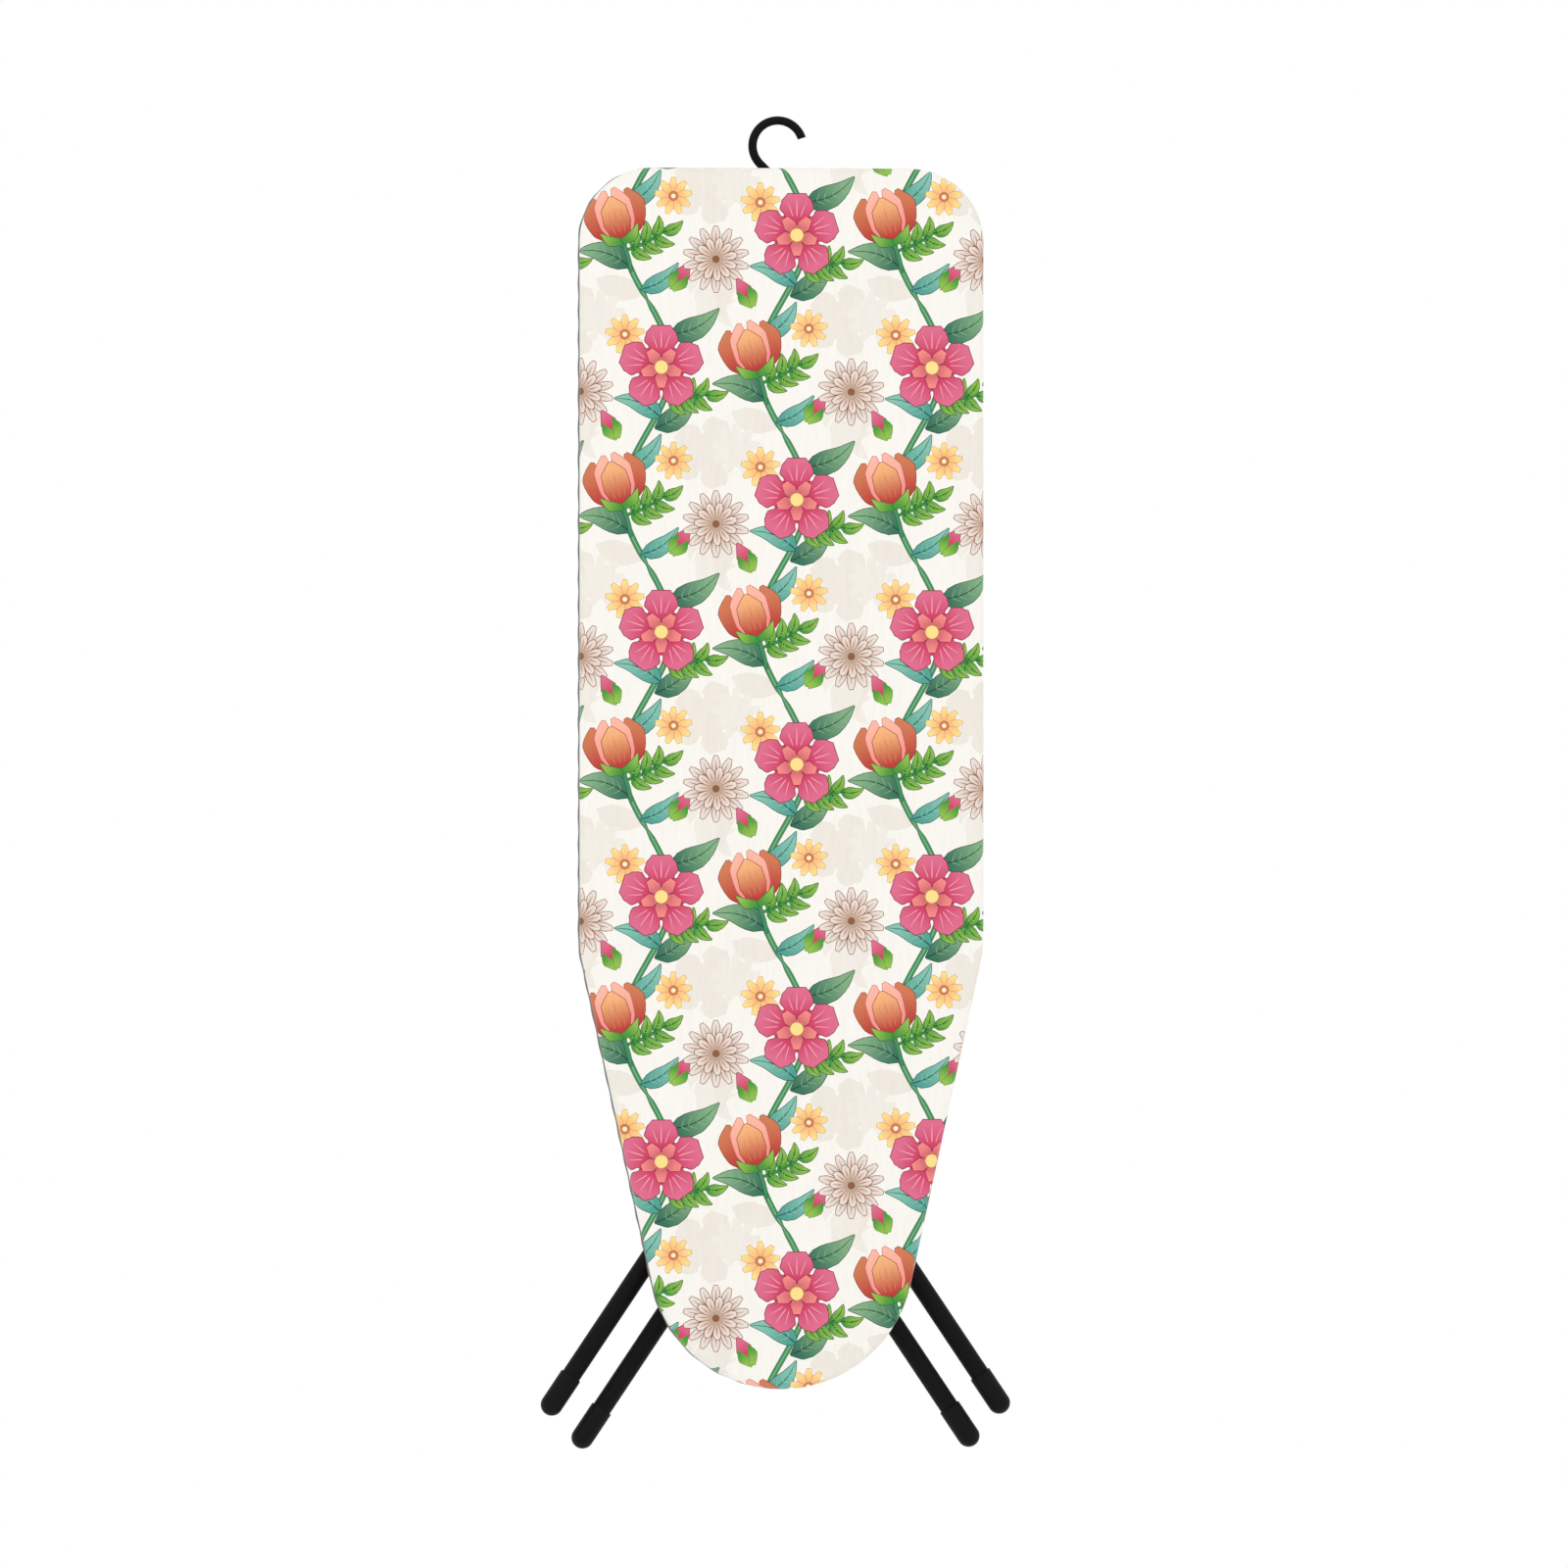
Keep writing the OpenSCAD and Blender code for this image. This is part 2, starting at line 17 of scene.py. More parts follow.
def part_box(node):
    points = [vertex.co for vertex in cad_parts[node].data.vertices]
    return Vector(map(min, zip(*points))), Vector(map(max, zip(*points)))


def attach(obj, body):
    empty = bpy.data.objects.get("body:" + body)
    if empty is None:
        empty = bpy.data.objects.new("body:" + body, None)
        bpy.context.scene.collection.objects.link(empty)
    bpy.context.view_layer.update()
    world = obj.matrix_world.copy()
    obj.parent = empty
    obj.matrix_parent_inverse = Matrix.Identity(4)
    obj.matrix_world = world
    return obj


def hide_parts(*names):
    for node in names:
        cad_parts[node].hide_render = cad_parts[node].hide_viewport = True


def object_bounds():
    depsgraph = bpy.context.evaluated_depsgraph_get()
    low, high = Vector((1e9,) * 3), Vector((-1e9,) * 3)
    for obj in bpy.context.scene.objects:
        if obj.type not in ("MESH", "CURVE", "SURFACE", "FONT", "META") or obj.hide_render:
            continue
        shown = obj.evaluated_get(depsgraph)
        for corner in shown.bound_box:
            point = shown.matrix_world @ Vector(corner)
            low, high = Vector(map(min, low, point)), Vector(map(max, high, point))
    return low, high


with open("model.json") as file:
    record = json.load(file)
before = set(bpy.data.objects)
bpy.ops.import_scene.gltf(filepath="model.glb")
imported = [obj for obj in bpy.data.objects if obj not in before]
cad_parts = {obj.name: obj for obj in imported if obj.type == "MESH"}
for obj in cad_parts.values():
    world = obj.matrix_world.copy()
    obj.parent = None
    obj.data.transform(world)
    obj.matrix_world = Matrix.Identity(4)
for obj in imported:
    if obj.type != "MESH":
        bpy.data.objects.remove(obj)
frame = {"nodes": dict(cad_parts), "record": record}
cad_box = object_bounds()
MM = 0.001

# ---------------------------------------------------------------- sizes from the frame

COVER_LOW, COVER_HIGH = (np.array(corner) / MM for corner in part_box("cover"))
DECK_LOW, DECK_HIGH = (np.array(corner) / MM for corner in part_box("deck"))
PAD_LOW, PAD_HIGH = (np.array(corner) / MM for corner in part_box("pad"))
HEEL_Z = COVER_HIGH[2]
BOARD_L = COVER_HIGH[2] - COVER_LOW[2]
HALF_W = COVER_HIGH[0]
FACE_Y = COVER_LOW[1]
UNDER_Y = COVER_HIGH[1]

# Shape of the board's outline: heel corners, the bend where the taper starts, and the nose
HEEL_R = 73.0
BEND_R = 120.0
NOSE_R = 131.0
TAPER_START = 755.0
HEEL_C = np.array([HALF_W - HEEL_R, HEEL_R])
BEND_C = np.array([HALF_W - BEND_R, TAPER_START])
NOSE_C = np.array([0.0, BOARD_L - NOSE_R])
TAPER_RUN = NOSE_C - BEND_C
TAPER = math.asin((BEND_R - NOSE_R) / np.hypot(*TAPER_RUN)) + math.atan2(-TAPER_RUN[0], TAPER_RUN[1])
TAPER_N = np.array([math.cos(TAPER), math.sin(TAPER)])
TAPER_T = np.array([-math.sin(TAPER), math.cos(TAPER)])
TAPER_L = float(TAPER_RUN @ TAPER_T)

# The cover's edge: a front round, a straight wall, a back round and a gathered hem
FRONT_ROUND = 7.0
BACK_ROUND = 5.0
HEM_W = 34.0
WALL = UNDER_Y - FACE_Y - FRONT_ROUND - BACK_ROUND
CASING = 9.0
# Distances past the flat face at which the cloth's cut has a ring of points, and its grid's pitch
FOLD_RINGS = (-2.0, 0.0, 3.7, 7.3, 11.0, 18.6, 23.8, 31.7, 40.0, 48.0, 52.5)
CLOTH_GRID = 14.0
# Painted shade: the side wall is coloured dark grey between these lengths from the face's edge, in place
# of the shade the wall takes
PAINTED_SHADE_BAND = (9.8, 29.0)
HEM_START = (FRONT_ROUND + BACK_ROUND) * math.pi / 2 + WALL
CLOTH_OUT = HEM_START + HEM_W - BACK_ROUND - FRONT_ROUND

# ---------------------------------------------------------------- the board's outline


def outline_at(p):
    """Signed distance from the outline, positive outside, with its outward normal and the length
    along the outline. p is an (n, 2) array of (x, s). The right half is a chain of straight lines
    and arcs, and each point takes the distance to the one whose normals fan out through it; the
    left half is its mirror image."""
    side = np.where(p[:, 0] < 0, -1.0, 1.0)
    q = np.column_stack([np.abs(p[:, 0]), p[:, 1]])
    to_heel, to_bend, to_nose = q - HEEL_C, q - BEND_C, q - NOSE_C
    along = to_bend @ TAPER_T
    bend_angle = np.arctan2(to_bend[:, 1], to_bend[:, 0])
    nose_angle = np.arctan2(to_nose[:, 1], to_nose[:, 0])
    n = len(q)
    flat = [np.tile(v, (n, 1)) for v in ([0.0, -1.0], [1.0, 0.0], TAPER_N)]
    heel_d, bend_d, nose_d = (np.hypot(v[:, 0], v[:, 1]) for v in (to_heel, to_bend, to_nose))
    safe = [np.maximum(d, 1e-9)[:, None] for d in (heel_d, bend_d, nose_d)]
    top_l = HEEL_C[0]
    heel_l = top_l + HEEL_R * math.pi / 2
    side_l = heel_l + TAPER_START - HEEL_R
    bend_l = side_l + BEND_R * TAPER
    taper_end = bend_l + TAPER_L
    heel_angle = np.arctan2(to_heel[:, 0], -to_heel[:, 1])
    cases = [
        (to_heel[:, 1] < 0) & (to_heel[:, 0] <= 0) & (q[:, 1] < HALF_W - q[:, 0]),
        (to_heel[:, 1] < 0) & (to_heel[:, 0] > 0),
        q[:, 1] <= TAPER_START,
        (along <= 0) & (bend_angle >= 0),
        (nose_angle <= TAPER),
    ]
    distance = np.select(
        cases,
        [-q[:, 1], heel_d - HEEL_R, q[:, 0] - HALF_W, bend_d - BEND_R,
         to_bend @ TAPER_N - BEND_R],
        nose_d - NOSE_R,
    )
    length = np.select(
        cases,
        [q[:, 0], top_l + HEEL_R * heel_angle, heel_l + q[:, 1] - HEEL_R,
         side_l + BEND_R * bend_angle, bend_l + along],
        taper_end + NOSE_R * (nose_angle - TAPER),
    )
    normal = np.select(
        [c[:, None] for c in cases],
        [flat[0], to_heel / safe[0], flat[1], to_bend / safe[1], flat[2]],
        to_nose / safe[2],
    )
    normal[:, 0] *= side
    return distance, normal, length * side


def outline_points(offset, step=4.0):
    """Points along the outline moved out by offset, anticlockwise from the heel's middle seen
    from the ironing face: arcs at equal angles and straights at equal lengths."""

    def arc(centre, radius, a0, a1):
        count = max(2, int(abs(a1 - a0) * (radius + 60) / step))
        a = np.linspace(a0, a1, count, endpoint=False)
        return centre + (radius + offset) * np.column_stack([np.cos(a), np.sin(a)])

    def line(a, b):
        count = max(2, int(np.hypot(*(b - a)) / step))
        return a + (b - a) * np.linspace(0, 1, count, endpoint=False)[:, None]

    top = HEEL_C + [0, -HEEL_R - offset]
    side_top = HEEL_C + [HEEL_R + offset, 0]
    side_end = BEND_C + [BEND_R + offset, 0]
    taper_top = BEND_C + (BEND_R + offset) * TAPER_N
    taper_end = NOSE_C + (NOSE_R + offset) * TAPER_N
    right = np.vstack([
        line(np.array([0.0, -offset]), top),
        arc(HEEL_C, HEEL_R, -math.pi / 2, 0),
        line(side_top, side_end),
        arc(BEND_C, BEND_R, 0, TAPER),
        line(taper_top, taper_end),
        arc(NOSE_C, NOSE_R, TAPER, math.pi / 2),
    ])
    nose = NOSE_C + [0, NOSE_R + offset]
    left = right[1:][::-1] * [-1, 1]
    return np.vstack([right, nose[None, :], left])


# ---------------------------------------------------------------- drawing the print

PALETTE = {
    # the dark grey side-wall ink is painted shade, not a colour of the cloth
    "ground": "f3f0e9", "painted_wall_shade": "383c3d", "faint": "ece7de", "faint_dark": "e9e3d9",
    "blade": "cfae9c", "vine": "3f8a58", "vine_dark": "1c5c3c", "vine_light": "79b07c",
    "leaf_dark": "16483c", "leaf_mid": "2c6b54", "leaf_light": "86b184", "teal": "4a9a8b",
    "teal_dark": "1b5a58", "teal_light": "86c3b0", "sprig": "3e9135", "sprig_dark": "1c5f2b",
    "lime": "93bf4d", "lime_dark": "5f9136", "red": "b5292c", "red_dark": "7c161f",
    "red_light": "cf7a52", "crimson": "c81e50", "crimson_dark": "86123c", "pink": "dc6c8c",
    "pink_light": "efa7b4", "salmon": "f18a82", "salmon_light": "f8b7a0", "rose": "c75a6c",
    "apricot": "f5b47b", "apricot_dark": "cf7d4c", "yellow": "f7dd8c", "cream": "fbefc9",
    "brown": "8c5a3c", "brown_light": "c9a98c", "blade_light": "e8dcd4", "seed": "bba38f",
}


def linear(hexa):
    """A hex colour as linear RGB."""
    c = np.array([int(hexa[i : i + 2], 16) for i in (0, 2, 4)]) / 255
    return np.where(c <= 0.04045, c / 12.92, ((c + 0.055) / 1.055) ** 2.4)


INK = {name: linear(value) for name, value in PALETTE.items()}


def smooth(points, per=6):
    """A Catmull-Rom curve through points, with per steps in each span."""
    p = np.asarray(points, float)
    ext = np.vstack([2 * p[0] - p[1], p, 2 * p[-1] - p[-2]])
    spans = len(ext) - 3
    t = np.linspace(0, 1, per, endpoint=False)[None, :, None]
    a, b, c, d = (ext[i : i + spans, None, :] for i in range(4))
    curve = 0.5 * (2 * b + (c - a) * t + (2 * a - 5 * b + 4 * c - d) * t**2
                   + (3 * b - a - 3 * c + d) * t**3)
    return np.vstack([curve.reshape(-1, 2), p[-1:]])


def normals(p):
    """Unit normals to the right of a polyline's direction."""
    d = np.gradient(p, axis=0)
    d /= np.maximum(np.hypot(d[:, 0], d[:, 1]), 1e-9)[:, None]
    return np.column_stack([d[:, 1], -d[:, 0]])


def band(path, right, left):
    """The outline of a band along path that reaches right and left of it by those widths."""
    n = normals(path)
    return np.vstack([path + n * right[:, None], (path - n * left[:, None])[::-1]])


def shape(outline, ink, edge=None, edge_w=0.7, fade=None, fade_from=(0, 0), fade_to=(0, 1)):
    """One printed shape: its outline, its ink, a darker edge line of edge_w, and an ink that it
    fades to between two points."""
    return {"outline": np.asarray(outline, float), "ink": ink, "edge": edge, "edge_w": edge_w,
            "fade": fade, "from": np.array(fade_from, float), "to": np.array(fade_to, float)}


def stroke(points, width, ink, edge=None, end=1.0, per=6, edge_w=0.6):
    """A drawn line that starts at its width and ends at end times that, with round tips."""
    path = smooth(points, per)
    t = np.linspace(0, 1, len(path))
    w = width / 2 * (1 + (end - 1) * t)
    w *= np.sqrt(np.clip(np.minimum(t, 1 - t) * len(path) * 0.45, 0.15, 1))
    return shape(band(path, w, w), ink, edge, edge_w)


def petal(points, widths, ink, edge=None, fade=None, edge_w=0.6, ruffle=0.0, waves=5):
    """A petal along a curved midline with a half width at each point; ruffle waves its edges."""
    path = smooth(points, 7)
    t = np.linspace(0, 1, len(path))
    w = np.interp(t, np.linspace(0, 1, len(widths)), widths)
    wave = ruffle * np.sin(np.pi * waves * t * 2) * np.sin(np.pi * t)
    outline = band(path, np.maximum(w + wave, 0.15), np.maximum(w + wave * 0.8, 0.15))
    return shape(outline, ink, edge, edge_w, fade, points[0], points[-1])


def disc(x, s, r, ink, edge=None, sides=14):
    """A round dot."""
    a = np.linspace(0, 2 * math.pi, sides, endpoint=False)
    return shape(np.column_stack([x + r * np.cos(a), s + r * np.sin(a)]), ink, edge, 0.5)


def placed(one, at=(0, 0), turn=0.0, size=1.0):
    """A shape scaled, turned clockwise by turn degrees and moved."""
    c, s = math.cos(math.radians(turn)), math.sin(math.radians(turn))
    m = np.array([[c, s], [-s, c]]) * size
    return dict(one, **{key: one[key] @ m + at for key in ("outline", "from", "to")})


def ring_of(shapes, count, first=0.0):
    """The shapes, repeated count times around the middle."""
    return [placed(one, turn=first + 360 / count * i) for i in range(count) for one in shapes]


def open_flower():
    """Stock flower seen from above: five broad petals, five small ones and a round heart."""
    broad = [petal([(0, -4), (0, -18), (0, -32), (0, -44)], [5, 13, 18, 10], "crimson",
                   "crimson_dark", "pink", 0.8, 1.4, 4)]
    broad += [stroke([(lean * 4, -20), (lean * 7, foot), (lean * 10, tip)], width, "pink_light", end=0.4)
              for lean, foot, tip, width in ((0, -30, -39, 1.4), (-1, -28, -35, 1.1), (1, -28, -35, 1.1))]
    small = [petal([(0, -3), (0, -12), (0, -22)], [3, 7, 3.5], "rose", "crimson_dark", "salmon", 0.6)]
    heart = disc(0, 0, 7, "yellow", "apricot_dark")
    dots = [disc(0, -8.6, 1.3, "apricot_dark", sides=8)]
    return ring_of(broad, 5) + ring_of(small, 5, 36) + [heart] + ring_of(dots, 8)


def cup_flower():
    """Stock cup flower on a short stalk, seen from the side: five upright petals and two sepals.
    Side petals, ribs and sepals come in pairs, left first."""
    out = [stroke([(0, 4), (1, 24), (0, 40)], 3.4, "vine", "vine_dark")]
    out += [petal([(k * 6, 4), (k * 18, -10), (k * 22, -28), (k * 18, -44)], [5, 10, 11, 2], "red",
                  "red_dark", "red_light") for k in (-1, 1)]
    out += [petal([(k * 3, 4), (k * 8, -12), (k * 9, -32), (k * 5, -48)], [5, 10, 10, 2], "salmon",
                  "rose", "salmon_light") for k in (-1, 1)]
    out.append(petal([(0, 6), (0, -12), (0, -28), (0, -40)], [8, 14, 13, 2], "red", "red_dark", "apricot"))
    out.append(stroke([(0, -2), (0, -16), (0, -30)], 1.3, "red_light", end=0.4))
    out += [stroke([(k * 5, -2), (k * 7, -14), (k * 6, -26)], 1.1, "red_light", end=0.4) for k in (-1, 1)]
    out += [petal([(0, 8), (k * 12, 4), (k * 20, -6)], [3, 5, 0.5], "sprig", "sprig_dark", "lime")
            for k in (-1, 1)]
    return out


def daisy():
    """Small stock daisy: nine apricot petals around a dot."""
    one = petal([(0, -3), (0, -11), (0, -19)], [1.6, 4.2, 2.2], "apricot", "apricot_dark", "yellow", 0.5)
    middle = [disc(0, 0, 4.6, "apricot_dark", "brown"), disc(0, 0, 2.4, "cream", sides=9)]
    return ring_of([one], 9) + middle


def blade(base, tip, width):
    """One long narrow blade of a seed head with its midrib."""
    base, tip = np.array([0.0, base]), np.array([0.0, tip])
    mid = base + (tip - base) * 0.6
    return [petal([tuple(base), tuple(mid), tuple(tip)], [0.8, width * 0.8, width, width * 0.45],
                  "blade", "brown", "blade_light", 0.75),
            stroke([tuple(base + (tip - base) * 0.3), tuple(base + (tip - base) * 0.86)], 1.2, "brown",
                   end=0.4)]


def seed_head():
    """Stock seed head: two rings of narrow pale brown blades around a brown middle."""
    middle = [disc(0, 0, 8, "seed", "brown_light", 18), disc(0, 0, 4, "brown", sides=10)]
    return ring_of(blade(-4, -34, 4.2), 14) + ring_of(blade(-4, -22, 4.0), 11, 12) + middle


def leaf(ink, dark, light, length=52.0, width=10.0, veins=4):
    """Stock leaf on a bent midrib, with a pair of side veins at each step towards the tip."""
    spine = smooth([(0, 0), (length * 0.08, -length * 0.34), (length * 0.06, -length * 0.68),
                    (-length * 0.06, -length)], 8)
    out = [petal([tuple(q) for q in spine[::4]], [0.8, width * 0.8, width, width * 0.95, width * 0.7,
                                                 width * 0.4, 0.3], ink, dark, light, 0.7),
           stroke([tuple(q) for q in spine[::4]], 1.6, dark, end=0.3)]
    for k in range(veins):
        at = spine[int(len(spine) * (0.2 + 0.15 * k))]
        for side in (-1, 1):
            tip = at + [side * width * 0.62, -width * 0.62]
            bend = (at + tip) / 2 + [0, 0.6]
            out.append(stroke([tuple(at), tuple(bend), tuple(tip)], 0.9, light, end=0.4))
    return out


def green_leaf():
    """Leaf in the middle greens."""
    return leaf("leaf_mid", "leaf_dark", "leaf_light", 58, 12)


def teal_leaf():
    """Leaf in the teals."""
    return leaf("teal", "teal_dark", "teal_light", 50, 9.5)


def sprig():
    """Stock sprig: blunt leaves in pairs up a stem, and one at its end."""
    pair = leaf("sprig", "sprig_dark", "lime", 21, 5.2, 2)
    last = leaf("sprig", "sprig_dark", "lime", 22, 5.5, 2)
    out = [stroke([(0, 0), (2, -22), (0, -44)], 3.0, "sprig", "sprig_dark", end=0.5)]
    for s, turn in ((-8, 58), (-20, 54), (-32, 48)):
        for side in (-1, 1):
            out += [placed(one, (0.6, s), side * turn) for one in pair]
    return out + [placed(one, (0, -42)) for one in last]


def bud():
    """Stock bud: a pointed crimson drop in two sepals."""
    return [
        petal([(0, 4), (0, -8), (0, -20)], [4, 7, 0.6], "crimson", "crimson_dark", "pink"),
        petal([(0, 8), (-5, -1), (-5, -9)], [2.5, 4, 0.4], "lime", "lime_dark", "sprig"),
        petal([(0, 8), (5, -1), (5, -9)], [2.5, 4, 0.4], "lime", "lime_dark", "sprig"),
    ]


# The print is a half-drop repeat: columns ACROSS apart, each moved down by half of REPEAT against
# the one before. A vine runs down each column at x = SWING sin(2 pi s / REPEAT), and the motifs
# stand beside it at (x, s), turned by the angle given.
REPEAT = 260.0
ACROSS = 134.0
SWING = 24.0
MOTIFS = [
    (green_leaf, (22, 34), 66, 0.95), (teal_leaf, (14, 116), -64, 1.0),
    (green_leaf, (8, 126), 52, 0.9), (teal_leaf, (-20, 166), 48, 0.95),
    (green_leaf, (-16, 228), -70, 0.95), (teal_leaf, (-6, 250), 58, 0.9),
    (sprig, (16, 96), 86, 1.0), (sprig, (-22, 212), 64, 1.0),
    (bud, (-34, 128), -30, 1.1), (bud, (30, 242), 34, 1.1),
    (daisy, (-22, 34), 0, 1.0), (daisy, (26, 158), 0, 0.95),
    (seed_head, (68, 220), 0, 0.95),
    (cup_flower, (-26, 196), -16, 0.95),
    (open_flower, (14, 66), 0, 0.92),
]
BEHIND = [
    (open_flower, (60, 150), 20, 0.8), (green_leaf, (50, 20), 20, 1.1),
    (teal_leaf, (-44, 96), 200, 1.1), (sprig, (48, 226), 150, 1.1),
    (green_leaf, (-50, 240), 100, 1.0), (daisy, (-46, 16), 0, 1.3),
]


def flat_ink(one, ink):
    """The shape in one ink, with no edge line and no fade."""
    return dict(one, ink=ink, edge=None, fade=None)


def print_shapes():
    """Every printed shape in the order it is laid down, as far as the cloth reaches."""
    reach = HALF_W + CLOTH_OUT
    behind, vines, front = [], [], []
    steps = np.arange(0.0, REPEAT + 1, REPEAT / 16)
    for k, j in ((k, j) for k in range(-1, 6) for j in range(-2, 3)):
        at = np.array([ACROSS * j, REPEAT * (k + 0.5 * (j % 2))])

        def put(one, store, turn=0.0, where=(0, 0), size=1.0, at=at):
            done = placed(one, at + where, turn, size)
            low, high = done["outline"].min(axis=0), done["outline"].max(axis=0)
            beside = low[0] > reach or high[0] < -reach
            if not beside and low[1] < BOARD_L + CLOTH_OUT and high[1] > -CLOTH_OUT:
                store.append(done)

        for i, (motif, where, turn, size) in enumerate(BEHIND):
            for one in motif():
                if one["edge"]:
                    put(flat_ink(one, "faint" if i % 2 else "faint_dark"), behind, turn, where, size)
        path = [(SWING * math.sin(2 * math.pi * s / REPEAT), s) for s in steps]
        put(stroke(path, 5.0, "vine", "vine_dark", per=4, edge_w=0.5), vines)
        put(stroke(path, 1.3, "vine_light", per=4), vines)
        for motif, where, turn, size in MOTIFS:
            for one in motif():
                put(one, front, turn, where, size)
    return behind + vines + front


def grown(outline, by):
    """The outline moved out by a distance along its own normals."""
    p = np.asarray(outline)
    d = np.roll(p, -1, axis=0) - np.roll(p, 1, axis=0)
    d /= np.maximum(np.hypot(d[:, 0], d[:, 1]), 1e-9)[:, None]
    area = np.sum(p[:, 0] * np.roll(p[:, 1], -1) - p[:, 1] * np.roll(p[:, 0], -1))
    return p + np.column_stack([d[:, 1], -d[:, 0]]) * (by if area > 0 else -by)


def thinned(outline, slack):
    """The outline without the points that lie within slack of the line between their neighbours,
    every other point at a time."""
    p = np.asarray(outline)
    for start in (1, 0, 1, 0):
        if len(p) < 8:
            break
        before, after = np.roll(p, 1, axis=0), np.roll(p, -1, axis=0)
        run = after - before
        long = np.maximum(np.hypot(run[:, 0], run[:, 1]), 1e-6)
        off = np.abs(run[:, 0] * (p - before)[:, 1] - run[:, 1] * (p - before)[:, 0]) / long
        drop = (off < slack) & (np.arange(len(p)) % 2 == start) & (long < 9)
        drop[0] = False
        p = p[~drop]
    return p


def inside_of(outline, p, order=None):
    """Which points p lie inside a closed outline, by its winding number. order sorts p by s."""
    a, b = outline, np.roll(outline, -1, axis=0)
    low, high = a.min(axis=0), a.max(axis=0)
    if order is None:
        order = np.argsort(p[:, 1])
    first, last = np.searchsorted(p[:, 1], [low[1], high[1]], sorter=order)
    near = order[first:last]
    near = near[(p[near, 0] > low[0]) & (p[near, 0] < high[0])]
    q = p[near][:, None, :]
    cross = (b[:, 0] - a[:, 0]) * (q[..., 1] - a[:, 1]) - (b[:, 1] - a[:, 1]) * (q[..., 0] - a[:, 0])
    up = (a[:, 1] <= q[..., 1]) & (b[:, 1] > q[..., 1]) & (cross > 0)
    down = (a[:, 1] > q[..., 1]) & (b[:, 1] <= q[..., 1]) & (cross < 0)
    return near[(up.sum(axis=1) - down.sum(axis=1)) != 0]


def triangulate(points, edges, boundary):
    """Constrained Delaunay triangles of points inside the boundary loop: their points and
    corners."""
    out, _, tris, _, _, _ = delaunay_2d_cdt([Vector(p) for p in points], edges, [], 0, 0.02, False)
    out = np.array([tuple(v) for v in out])
    corners = np.array([t[:3] for t in tris])
    return out, corners[inside_of(boundary, out[corners].mean(axis=1))]


def loop_edges(loops):
    """Edges round each of a list of closed loops laid end to end."""
    edges, total = [], 0
    for loop in loops:
        n = len(loop)
        edges += [(total + i, total + (i + 1) % n) for i in range(n)]
        total += n
    return edges


def visible_edges(corners, owner):
    """The edges between triangles of different owners, as pairs of points."""
    pairs = np.vstack([corners[:, [0, 1]], corners[:, [1, 2]], corners[:, [2, 0]]])
    pairs.sort(axis=1)
    face = np.tile(np.arange(len(corners)), 3)
    order = np.lexsort((pairs[:, 1], pairs[:, 0]))
    pairs, face = pairs[order], face[order]
    same = np.all(pairs[1:] == pairs[:-1], axis=1)
    differ = owner[face[1:]] != owner[face[:-1]]
    return pairs[1:][same & differ]


